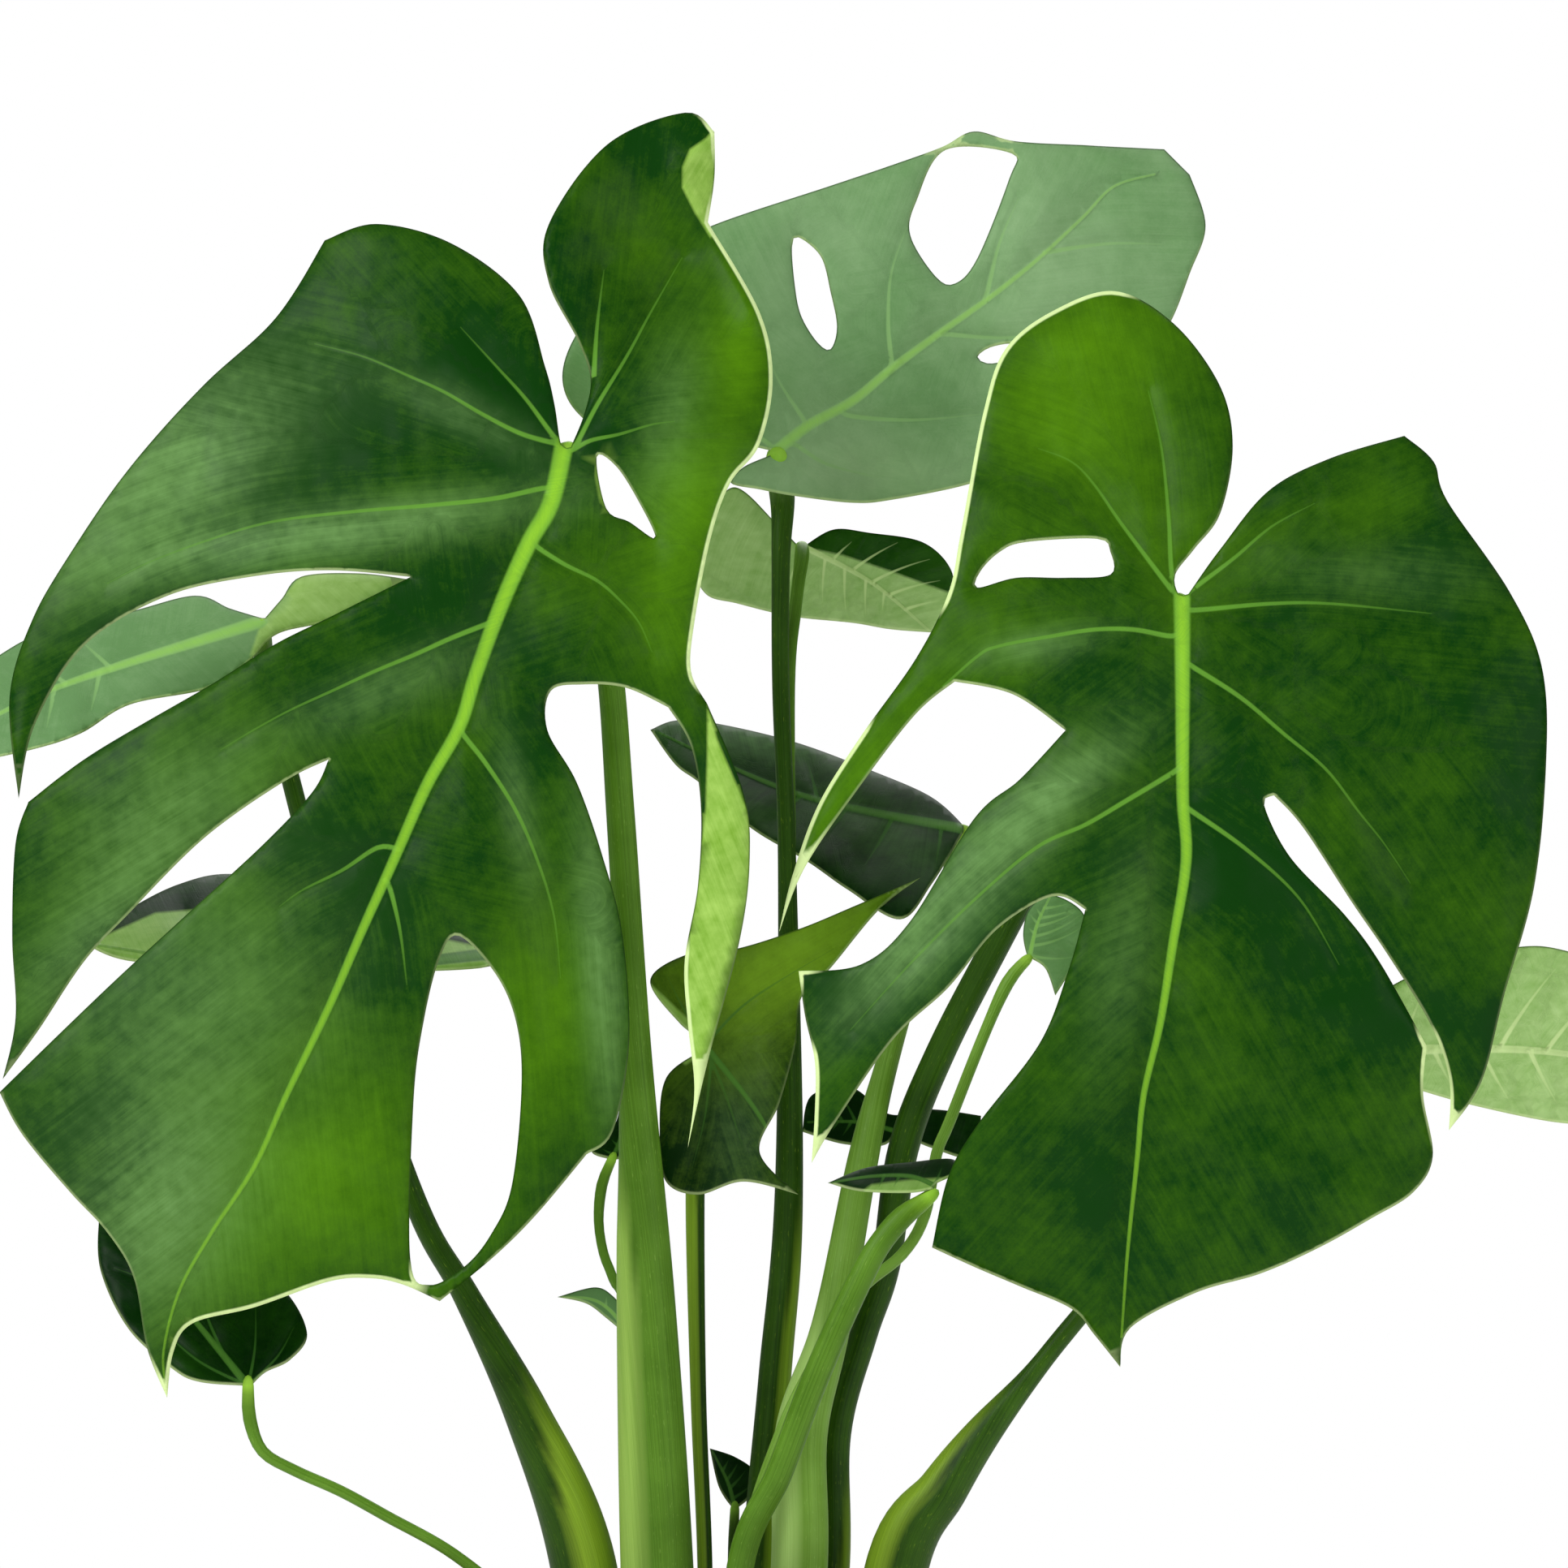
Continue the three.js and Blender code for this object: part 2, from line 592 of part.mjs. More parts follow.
function outlineCutter(leaf) {
  const cutter = new THREE.ExtrudeGeometry(leafShape(leaf), {
    depth: CUTTER_DEPTH,
    bevelEnabled: false,
    curveSegments: 1,
  });
  cutter.translate(0, 0, -CUTTER_DEPTH / 2);
  cutter.rotateX(Math.PI / 2);
  cutter.computeBoundingBox();
  return cutter;
}

function bladeSolid(leaf, thickness) {
  const cutter = outlineCutter(leaf);
  return bentSheet(leaf, cutter.boundingBox, thickness).intersect(toSolid(cutter));
}

// The same sheet around the stalk's end only, whole where the blade is notched.
function seatSolid(leaf, thickness) {
  const around = new THREE.BoxGeometry(2 * STALK_SEAT_REACH, CUTTER_DEPTH, 2 * STALK_SEAT_REACH);
  const { boundingBox } = outlineCutter(leaf);
  return bentSheet(leaf, boundingBox, thickness).intersect(toSolid(around));
}

// A leaf's own solid, sized to its length and set at the end of its stalk.
function placed(leaf, makeSolid, thickness) {
  const scale = BLADE_LENGTHS[leaf.name] / Math.hypot(...leaf.tip);
  const [x, y, z] = leaf.stalk.at(-1);
  return makeSolid(leaf, thickness / scale)
    .translate([0, -depthAt(leaf, 0, 0), 0])
    .scale(scale)
    .translate([x, y, z]);
}

// A tapering stalk: a turned spindle bent along the curve through the leaf's stalk points.
// Thicker stalks have their feet further apart.
function stalkGeometry(leaf) {
  const points = leaf.stalk.map(([x, y, z], index, { length }) => {
    const spread = THREE.MathUtils.lerp(STALK_GIRTH, 1, index / (length - 1));
    return new THREE.Vector3(x * spread, y * spread, z);
  });
  points[0].z = SEAT_GAP;
  const curve = new THREE.CatmullRomCurve3(points);
  const steps = STALK_STEPS_PER_POINT * (points.length - 1);
  const frames = curve.computeFrenetFrames(steps);
  const profile = [new THREE.Vector2(0, 0)];
  for (let ring = 0; ring <= steps; ring += 1) {
    const along = curve.getUtoTmapping(ring / steps) * (points.length - 1);
    const before = Math.min(Math.floor(along), points.length - 2);
    const radius = THREE.MathUtils.lerp(
      leaf.stalk[before][3],
      leaf.stalk[before + 1][3],
      along - before,
    );
    profile.push(new THREE.Vector2(radius * STALK_GIRTH, ring / steps));
  }
  profile.push(new THREE.Vector2(0, 1));
  const spindle = new THREE.LatheGeometry(profile, STALK_SIDES);
  const place = spindle.attributes.position;
  for (let index = 0; index < place.count; index += 1) {
    const ring = Math.round(place.getY(index) * steps);
    const bent = curve.getPointAt(ring / steps);
    bent.addScaledVector(frames.normals[ring], place.getX(index));
    bent.addScaledVector(frames.binormals[ring], -place.getZ(index));
    place.setXYZ(index, bent.x, bent.y, Math.max(bent.z, SEAT_GAP));
  }
  return spindle;
}

function addLeaf(leaf) {
  const blade = placed(leaf, bladeSolid, BLADE_THICKNESS);
  const spaced = BLADE_THICKNESS + 2 * SEAT_GAP + Math.abs(leaf.bend.lean) * SEAT_GAP;
  const stalk = toSolid(stalkGeometry(leaf))
    .subtract(placed(leaf, seatSolid, spaced))
    .subtract(placed(leaf, bladeSolid, spaced));
  addMesh(plant, `${leaf.name}_leaf_blade`, toGeometry(blade), leaf.finish);
  addMesh(plant, `${leaf.name}_leaf_stalk`, toGeometry(largestPiece(stalk)), leaf.stalkFinish);
}

// ---- assembly -----------------------------------------------------------------------------
addMesh(object, "basket", basketGeometry(), "wicker");
addMesh(object, "nursery_pot", potGeometry(), "potPlastic").position.z = potBottom;
addMesh(object, "potting_soil", soilGeometry(), "soil").position.z = potBottom;
LEAVES.forEach(addLeaf);
plant.position.z = soilTop;
object.add(plant);

export default object;
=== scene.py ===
"""A monstera in a woven basket: sixteen leaves on their stalks, the soil, the nursery pot, the basket."""
import logging
import math
from dataclasses import dataclass
from enum import Enum

import bpy
import numpy as np
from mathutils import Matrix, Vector, geometry


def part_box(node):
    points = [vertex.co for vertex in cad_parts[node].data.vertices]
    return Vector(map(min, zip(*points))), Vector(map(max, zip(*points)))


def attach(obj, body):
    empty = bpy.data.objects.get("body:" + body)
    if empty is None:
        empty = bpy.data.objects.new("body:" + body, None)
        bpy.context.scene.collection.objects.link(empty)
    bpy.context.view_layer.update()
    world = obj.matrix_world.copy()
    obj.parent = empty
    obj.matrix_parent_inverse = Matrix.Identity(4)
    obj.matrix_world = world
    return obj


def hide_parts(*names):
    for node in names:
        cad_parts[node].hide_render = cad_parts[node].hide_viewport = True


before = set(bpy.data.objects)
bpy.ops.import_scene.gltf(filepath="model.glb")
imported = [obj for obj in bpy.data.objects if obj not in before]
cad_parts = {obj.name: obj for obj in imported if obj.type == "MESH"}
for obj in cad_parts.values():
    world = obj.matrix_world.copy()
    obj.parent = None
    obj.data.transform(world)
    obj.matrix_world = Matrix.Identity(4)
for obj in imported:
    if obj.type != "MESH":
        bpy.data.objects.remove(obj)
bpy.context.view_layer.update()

log = logging.getLogger("monstera")
logging.basicConfig(level=logging.INFO, format="%(message)s")

MM = 0.001
Points = list[tuple[float, float]]
Colour = tuple[float, float, float]


# ---- small helpers --------------------------------------------------------------------------
def shade(red: int, green: int, blue: int) -> Colour:
    """Turns a display colour of 0 to 255 into the linear colour that a shader takes.

    Args:
        red: Red as displayed.
        green: Green as displayed.
        blue: Blue as displayed.

    Returns:
        The linear colour.
    """
    parts = [channel / 255 for channel in (red, green, blue)]
    return tuple(p / 12.92 if p <= 0.04045 else ((p + 0.055) / 1.055) ** 2.4 for p in parts)


def spline(points: np.ndarray, step: float) -> np.ndarray:
    """Samples a smooth curve through points.

    Args:
        points: Points that the curve passes, one a row.
        step: Distance between samples, about.

    Returns:
        The samples, from the first point to the last.
    """
    if len(points) == 2:
        count = max(1, round(float(np.linalg.norm(points[1] - points[0])) / step))
        return points[0] + np.linspace(0, 1, count + 1)[:, None] * (points[1] - points[0])
    padded = np.vstack([points[0], points, points[-1]])
    made = []
    for before, start, end, after in zip(padded, padded[1:], padded[2:], padded[3:]):
        count = max(1, round(float(np.linalg.norm(end - start)) / step))
        t = (np.arange(count) / count)[:, None]
        bend = 2 * before - 5 * start + 4 * end - after
        twist = -before + 3 * start - 3 * end + after
        made.append(start + 0.5 * ((end - before) * t + bend * t**2 + twist * t**3))
    return np.vstack(made + [points[-1:]])


def segment_distance(places: np.ndarray, run: np.ndarray, closed: bool) -> tuple[np.ndarray, np.ndarray]:
    """Measures how far places lie from a run of straight segments.

    Args:
        places: Places to measure, one a row.
        run: The run's corners.
        closed: Whether the run's end joins its start.

    Returns:
        The distance of each place, and how far along the run its nearest point lies.
    """
    starts = run if closed else run[:-1]
    ends = np.roll(run, -1, axis=0) if closed else run[1:]
    spans = ends - starts
    lengths = np.maximum(np.linalg.norm(spans, axis=1), 1e-9)
    reached = np.concatenate([[0], np.cumsum(lengths)[:-1]])
    best = np.full(len(places), 1e9)
    along = np.zeros(len(places))
    for start, span, length, before in zip(starts, spans, lengths, reached):
        t = np.clip((places - start) @ span / length**2, 0, 1)
        away = np.linalg.norm(places - start - t[:, None] * span, axis=1)
        nearer = away < best
        best[nearer] = away[nearer]
        along[nearer] = before + t[nearer] * length
    return best, along


def inside(places: np.ndarray, loops: list[np.ndarray]) -> np.ndarray:
    """Says which places lie inside closed loops, with loops inside loops as holes.

    Args:
        places: Places to test, one a row.
        loops: Closed loops of corners.

    Returns:
        True for each place that lies inside.
    """
    result = np.zeros(len(places), dtype=bool)
    x, y = places[:, 0], places[:, 1]
    for loop in loops:
        for (x0, y0), (x1, y1) in zip(loop, np.roll(loop, -1, axis=0)):
            if y0 == y1:
                continue
            crosses = ((y0 > y) != (y1 > y)) & (x < (x1 - x0) * (y - y0) / (y1 - y0) + x0)
            result ^= crosses
    return result


def ripples(places: np.ndarray, size: float, seed: int) -> np.ndarray:
    """Makes gentle uneven waves, from -1 to 1, by adding a few sine waves.

    Args:
        places: Places, one a row.
        size: Length of the longest wave.
        seed: Seed of the waves' directions.

    Returns:
        The wave height at each place.
    """
    chance = np.random.default_rng(seed)
    total = np.zeros(len(places))
    for octave in range(6):
        way = chance.normal(size=places.shape[1])
        way *= (1 + 0.45 * octave) * 2 * math.pi / size / np.linalg.norm(way)
        total += np.sin(places @ way + chance.uniform(0, 2 * math.pi)) / (1 + 0.6 * octave)
    return total / 2.6


def mesh_piece(
    name: str, places: np.ndarray, faces: list, slots: np.ndarray | None = None
) -> bpy.types.Object:
    """Makes a smooth-shaded object from places in millimetres.

    Args:
        name: The object's name.
        places: Corner places in millimetres.
        faces: Corner numbers of each face.
        slots: Material slot of each face.

    Returns:
        The new object, linked to the scene.
    """
    mesh = bpy.data.meshes.new(name)
    mesh.from_pydata((places * MM).tolist(), [], faces)
    mesh.polygons.foreach_set("use_smooth", [True] * len(mesh.polygons))
    if slots is not None:
        mesh.polygons.foreach_set("material_index", slots)
    mesh.update()
    piece = bpy.data.objects.new(name, mesh)
    bpy.context.scene.collection.objects.link(piece)
    return piece


def paint(piece: bpy.types.Object, name: str, values: np.ndarray) -> None:
    """Stores a number or a vector on each corner of a piece for its material to read.

    Args:
        piece: The piece.
        name: The attribute's name.
        values: One number or one vector for each corner.
    """
    kind, key = ("FLOAT", "value") if values.ndim == 1 else ("FLOAT_VECTOR", "vector")
    attribute = piece.data.attributes.new(name, kind, "POINT")
    attribute.data.foreach_set(key, values.astype(np.float32).ravel())


def only(piece: bpy.types.Object) -> None:
    """Selects one piece and nothing else.

    Args:
        piece: The piece, which becomes the active one.
    """
    bpy.ops.object.select_all(action="DESELECT")
    piece.select_set(True)
    bpy.context.view_layer.objects.active = piece


def sharpen(piece: bpy.types.Object, degrees: float) -> None:
    """Shades a piece smooth, with edges past an angle left sharp."""
    only(piece)
    bpy.ops.object.shade_smooth_by_angle(angle=math.radians(degrees))


def dress(piece: bpy.types.Object, slot: str, *materials: bpy.types.Material) -> None:
    """Gives a piece its materials and its body.

    Args:
        piece: The piece.
        slot: The record's material slot, which is not used.
        materials: The piece's materials, in the order of its face slots.
    """
    for material in materials:
        piece.data.materials.append(material)
    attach(piece, "root")
    log.info("%s: %d faces", piece.name, len(piece.data.polygons))


# ---- shader maths ---------------------------------------------------------------------------
class Wire:
    """A number in a material that adds Math nodes where it is used in an expression."""

    def __init__(self, tree: "Shader", socket: bpy.types.NodeSocket) -> None:
        """Wraps one output socket of a material."""
        self.tree = tree
        self.socket = socket

    def math(self, operation: str, *values: "Wire | float", swapped: bool = False) -> "Wire":
        """Adds one Math node.

        Args:
            operation: The node's operation.
            values: Its other values.
            swapped: Whether this number comes second.

        Returns:
            The node's result.
        """
        terms = [self, *values]
        if swapped:
            terms.reverse()
        node = self.tree.node("ShaderNodeMath", {"operation": operation}, dict(enumerate(terms)))
        return Wire(self.tree, node.outputs[0])

    def __add__(self, other: "Wire | float") -> "Wire":
        """Adds."""
        return self.math("ADD", other)

    def __sub__(self, other: "Wire | float") -> "Wire":
        """Subtracts."""
        return self.math("SUBTRACT", other)

    def __rsub__(self, other: float) -> "Wire":
        """Subtracts this from a number."""
        return self.math("SUBTRACT", other, swapped=True)

    def __mul__(self, other: "Wire | float") -> "Wire":
        """Multiplies."""
        return self.math("MULTIPLY", other)

    __radd__ = __add__
    __rmul__ = __mul__

    def fade(self, start: float, end: float) -> "Wire":
        """Goes smoothly from 1 at start to 0 at end.

        Args:
            start: Where the fading starts.
            end: Where nothing is left.

        Returns:
            The faded value.
        """
        settings = {"interpolation_type": "SMOOTHSTEP"}
        inputs = {"Value": self, "From Min": start, "From Max": end, "To Min": 1.0, "To Max": 0.0}
        return Wire(self.tree, self.tree.node("ShaderNodeMapRange", settings, inputs).outputs[0])


class Shader:
    """A material under construction."""

    def __init__(self, name: str) -> None:
        """Starts a material with a Principled shader.

        Args:
            name: The material's name.
        """
        self.material = bpy.data.materials.new(name)
        self.material.use_nodes = True
        self.nodes = self.material.node_tree.nodes
        self.links = self.material.node_tree.links
        self.surface = self.nodes["Principled BSDF"]

    def plug(self, node: bpy.types.Node, key: str | int, value: object) -> None:
        """Links or sets one input of a node."""
        socket = node.inputs[key]
        if isinstance(value, Wire):
            self.links.new(value.socket, socket)
        elif isinstance(value, bpy.types.NodeSocket):
            self.links.new(value, socket)
        elif isinstance(value, tuple) and len(value) == 3 and socket.type == "RGBA":
            socket.default_value = (*value, 1.0)
        else:
            socket.default_value = value

    def node(self, kind: str, settings: dict, inputs: dict) -> bpy.types.Node:
        """Adds a node.

        Args:
            kind: The node's type.
            settings: Its settings, set first.
            inputs: Values or links of its sockets.

        Returns:
            The node.
        """
        node = self.nodes.new(kind)
        for key, value in settings.items():
            setattr(node, key, value)
        for key, value in inputs.items():
            self.plug(node, key, value)
        return node

    def number(self, name: str) -> Wire:
        """Reads a number stored on the piece."""
        node = self.node("ShaderNodeAttribute", {"attribute_name": name}, {})
        return Wire(self, node.outputs["Fac"])

    def vector(self, name: str, scale: tuple[float, float, float]) -> bpy.types.NodeSocket:
        """Reads a vector stored on the piece, scaled.

        Args:
            name: The attribute's name.
            scale: What each part is multiplied by.

        Returns:
            The scaled vector.
        """
        node = self.node("ShaderNodeAttribute", {"attribute_name": name}, {})
        scaled = self.node("ShaderNodeVectorMath", {"operation": "MULTIPLY"}, {0: node.outputs["Vector"]})
        scaled.inputs[1].default_value = scale
        return scaled.outputs[0]

    def place(self) -> bpy.types.NodeSocket:
        """Reads the place on the object, in metres."""
        return self.node("ShaderNodeTexCoord", {}, {}).outputs["Object"]

    def noise(self, place: bpy.types.NodeSocket, scale: float, detail: float = 3.0) -> Wire:
        """Adds noise from 0 to 1."""
        inputs = {"Vector": place, "Scale": scale, "Detail": detail}
        return Wire(self, self.node("ShaderNodeTexNoise", {}, inputs).outputs["Fac"])

    def cells(self, place: bpy.types.NodeSocket, scale: float) -> Wire:
        """Adds the distance to the edges of small cells.

        Args:
            place: Where the cells are looked up.
            scale: How small the cells are.

        Returns:
            The distance.
        """
        settings = {"feature": "DISTANCE_TO_EDGE"}
        inputs = {"Vector": place, "Scale": scale}
        return Wire(self, self.node("ShaderNodeTexVoronoi", settings, inputs).outputs["Distance"])

    def mix(self, amount: Wire | float, first: object, second: object) -> bpy.types.NodeSocket:
        """Mixes two colours.

        Args:
            amount: How much of the second.
            first: The first colour.
            second: The second colour.

        Returns:
            The mixed colour.
        """
        node = self.node("ShaderNodeMix", {"data_type": "RGBA"}, {0: amount})
        self.plug(node, 6, first)
        self.plug(node, 7, second)
        return node.outputs[2]

    def bump(self, height: Wire, distance: float, strength: float) -> None:
        """Roughens the surface by a height.

        Args:
            height: The height.
            distance: How far a height of 1 stands out, in metres.
            strength: How strongly it shows.
        """
        inputs = {"Height": height, "Distance": distance, "Strength": strength}
        node = self.node("ShaderNodeBump", {}, inputs)
        self.links.new(node.outputs["Normal"], self.surface.inputs["Normal"])

    def finish(self, **sockets: object) -> bpy.types.Material:
        """Sets the Principled shader's sockets, named with _ for spaces, and returns the material."""
        for key, value in sockets.items():
            self.plug(self.surface, key.replace("_", " "), value)
        return self.material


def twice(values: np.ndarray) -> np.ndarray:
    """Repeats values for a blade's second face."""
    return np.concatenate([values, values])


# ---- finishes -------------------------------------------------------------------------------
# Colours of the margin lines, painted edge light and shade; the pale one also tints the ribs on the
# underside.
EDGE_PALE = shade(206, 228, 158)
EDGE_DARK = shade(22, 52, 6)
UNDER_RIB_PALENESS = 0.6


def paler(colour: Colour) -> Colour:
    """Gives a rib's colour on the underside, where it stands out paler."""
    red, green, blue = (
        own + (pale - own) * UNDER_RIB_PALENESS for own, pale in zip(colour, EDGE_PALE)
    )
    return red, green, blue


@dataclass(frozen=True)
class LeafFinish:
    """The look of a blade's two faces."""

    slot: str
    deep: Colour
    bright: Colour
    # sheen: the colour of the painted sheen patches.
    sheen: Colour
    rib: Colour
    vein: Colour
    under_deep: Colour
    under_bright: Colour
    roughness: float
    coat: float

    def face(self, name: str, under: bool) -> bpy.types.Material:
        """Makes the material of one face.

        Args:
            name: The material's name.
            under: Whether it is the underside.

        Returns:
            The material.
        """
        shader = Shader(name)
        place = shader.place()
        cloud = shader.noise(place, 24.0, 3.0)
        mottle = shader.noise(place, 230.0, 5.0)
        grain = shader.noise(place, 1300.0, 3.0)
        streak = shader.noise(shader.vector("flow", (0.62, 0.022, 1.0)), 1.0, 3.0)
        fine = shader.noise(shader.vector("flow", (2.1, 0.05, 1.0)), 1.0, 3.0)
        lines = streak * 0.7 + fine * 0.3
        # The listed light patches raise the tone towards the bright colour: painted light.
        tone = cloud * 1.15 + lines * 0.45 + mottle * 0.4 + grain * 0.2 + shader.number("glow") * 0.8 - 1.0
        upper = shader.mix(tone, self.deep, self.bright)
        # Painted sheen: the sheen colour is mixed in over the listed sheen patches, streaked by noise.
        bloom = shader.number("bloom") * (lines * 1.0 + mottle * 0.8 + cloud * 0.6 - 0.5)
        upper = shader.mix(bloom, upper, self.sheen)
        under_tone = lines * 0.9 + mottle * 0.9 + cloud * 0.5 - 0.75
        lower = shader.mix(under_tone, self.under_deep, self.under_bright)
        turned = shader.number("turned")
        base = shader.mix(1.0 - turned if under else turned, upper, lower)
        rib, vein = (paler(self.rib), paler(self.vein)) if under else (self.rib, self.vein)
        vein_mask = shader.number("vein_gap").fade(0.6, 1.5) * shader.number("vein_show")
        base = shader.mix(vein_mask * 0.85, base, vein)
        rib_gap = shader.number("rib_gap")
        # Painted highlight: the midrib takes the rib colour down its middle and the vein colour towards its
        # sides, so on most finishes its middle is painted lighter.
        rib_tone = shader.mix(rib_gap.fade(0.1, 0.95) * 0.6 + fine * 0.7 - 0.15, vein, rib)
        base = shader.mix(rib_gap.fade(0.7, 1.15) * shader.number("rib_show"), base, rib_tone)
        edge_gap, pale = shader.number("edge_gap"), shader.number("edge_pale")
        # Painted edge light and shade: a pale line where the margin faces down, a dark line where it faces
        # up, set by which way the margin faces; the listed stretches are pale as well.
        base = shader.mix(edge_gap.fade(0.15, 0.6) * (1.0 - pale) * 0.6, base, EDGE_DARK)
        base = shader.mix((edge_gap - pale * 0.7).fade(0.1, 0.75) * pale, base, EDGE_PALE)
        shader.bump(lines * 0.6 + mottle * 0.3 + grain * 0.1, 0.0006, 0.5 if under else 0.4)
        return shader.finish(
            Base_Color=base,
            Roughness=mottle * 0.16 + lines * 0.12 + (self.roughness - 0.1),
            Coat_Weight=self.coat * (0.3 if under else 1.0),
            Coat_Roughness=0.34,
            Specular_IOR_Level=0.06,
        )


@dataclass(frozen=True)
class StalkFinish:
    """The look of a stalk and its sheath."""

    slot: str
    skin: Colour
    shadow: Colour
    sheath: Colour
    knee: Colour

    def material(self, name: str) -> bpy.types.Material:
        """Makes the stalk's material.

        Args:
            name: The material's name.

        Returns:
            The material.
        """
        shader = Shader(name)
        place = shader.place()
        lines = shader.noise(shader.vector("grain", (2.6, 0.012, 1.0)), 1.0, 4.0)
        blotch = shader.noise(place, 60.0, 4.0)
        fleck = shader.noise(shader.vector("grain", (1.3, 0.25, 1.0)), 1.4, 5.0)
        base = shader.mix(lines * 1.3 + blotch * 0.9 - 0.6, self.shadow, self.skin)
        base = shader.mix(fleck.fade(0.30, 0.38) * 0.25, base, self.sheath)
        sheath = shader.mix(lines * 1.1 - 0.3, self.sheath, self.skin)
        base = shader.mix(shader.number("sheath"), base, sheath)
        # Painted shade: a dark line in the crease along the sheath's edge.
        base = shader.mix(shader.number("seam") * 0.7, base, self.shadow)
        base = shader.mix(shader.number("knee"), base, self.knee)
        shader.bump(lines * 0.7 + fleck * 0.3, 0.0006, 0.4)
        return shader.finish(
            Base_Color=base,
            Roughness=blotch * 0.15 + lines * 0.1 + 0.34,
            Coat_Weight=0.06,
            Coat_Roughness=0.3,
            Specular_IOR_Level=0.12,
        )


# ---- leaf sizes -----------------------------------------------------------------------------
class Skin(Enum):
    """The finishes of blades and stalks."""

    GLOSSY = "glossy_leaf"
    SATIN = "satin_leaf"
    DARK = "dark_leaf"
    PALE = "pale_leaf"
    OLIVE = "olive_leaf"
    GREEN_STALK = "stalk_green"
    LIGHT_STALK = "light_stalk"
    DARK_STALK = "dark_stalk"


@dataclass(frozen=True)
class Bend:
    """How far back a blade lies: along and sag follow the midrib, fold and cup the distance from it,
    lean the height, and each push (across, up, reach, distance) moves one lobe."""

    along: float = 0
    sag: float = 0
    fold: float = 0
    cup: float = 0
    lean: float = 0
    pushes: tuple = ()


@dataclass(frozen=True)
class Crease:
    """A line along which a blade is folded: it lies forward on the line, by depth, over a width."""

    line: tuple
    width: float
    depth: float


@dataclass(frozen=True)
class Sheath:
    """The pale wing on one side of a stalk's foot, up to a height, over a share of its width."""

    side: int
    top: float
    share: float


@dataclass(frozen=True)
class Leaf:
    """One leaf, in millimetres: the blade about the stalk's end, the stalk from the pot's middle."""

    name: str
    finish: Skin
    tip: tuple
    bend: Bend
    edge: tuple
    stalk: tuple
    holes: tuple = ()
    rib: tuple = ()
    rib_width: float = 0
    veins: tuple = ()
    turned: tuple = ()
    creases: tuple = ()
    # Patches (across, up, long reach, short reach, angle, strength) where a sheen is painted into the upper
    # face's colour.
    bloom: tuple = ()
    # Patches, given the same way, where the upper face's colour is painted lighter as if lit: painted light.
    glow: tuple = ()
    pale_edges: tuple = ()
    under_front: bool = False
    stalk_skin: Skin = Skin.GREEN_STALK
    sheath: Sheath | None = None


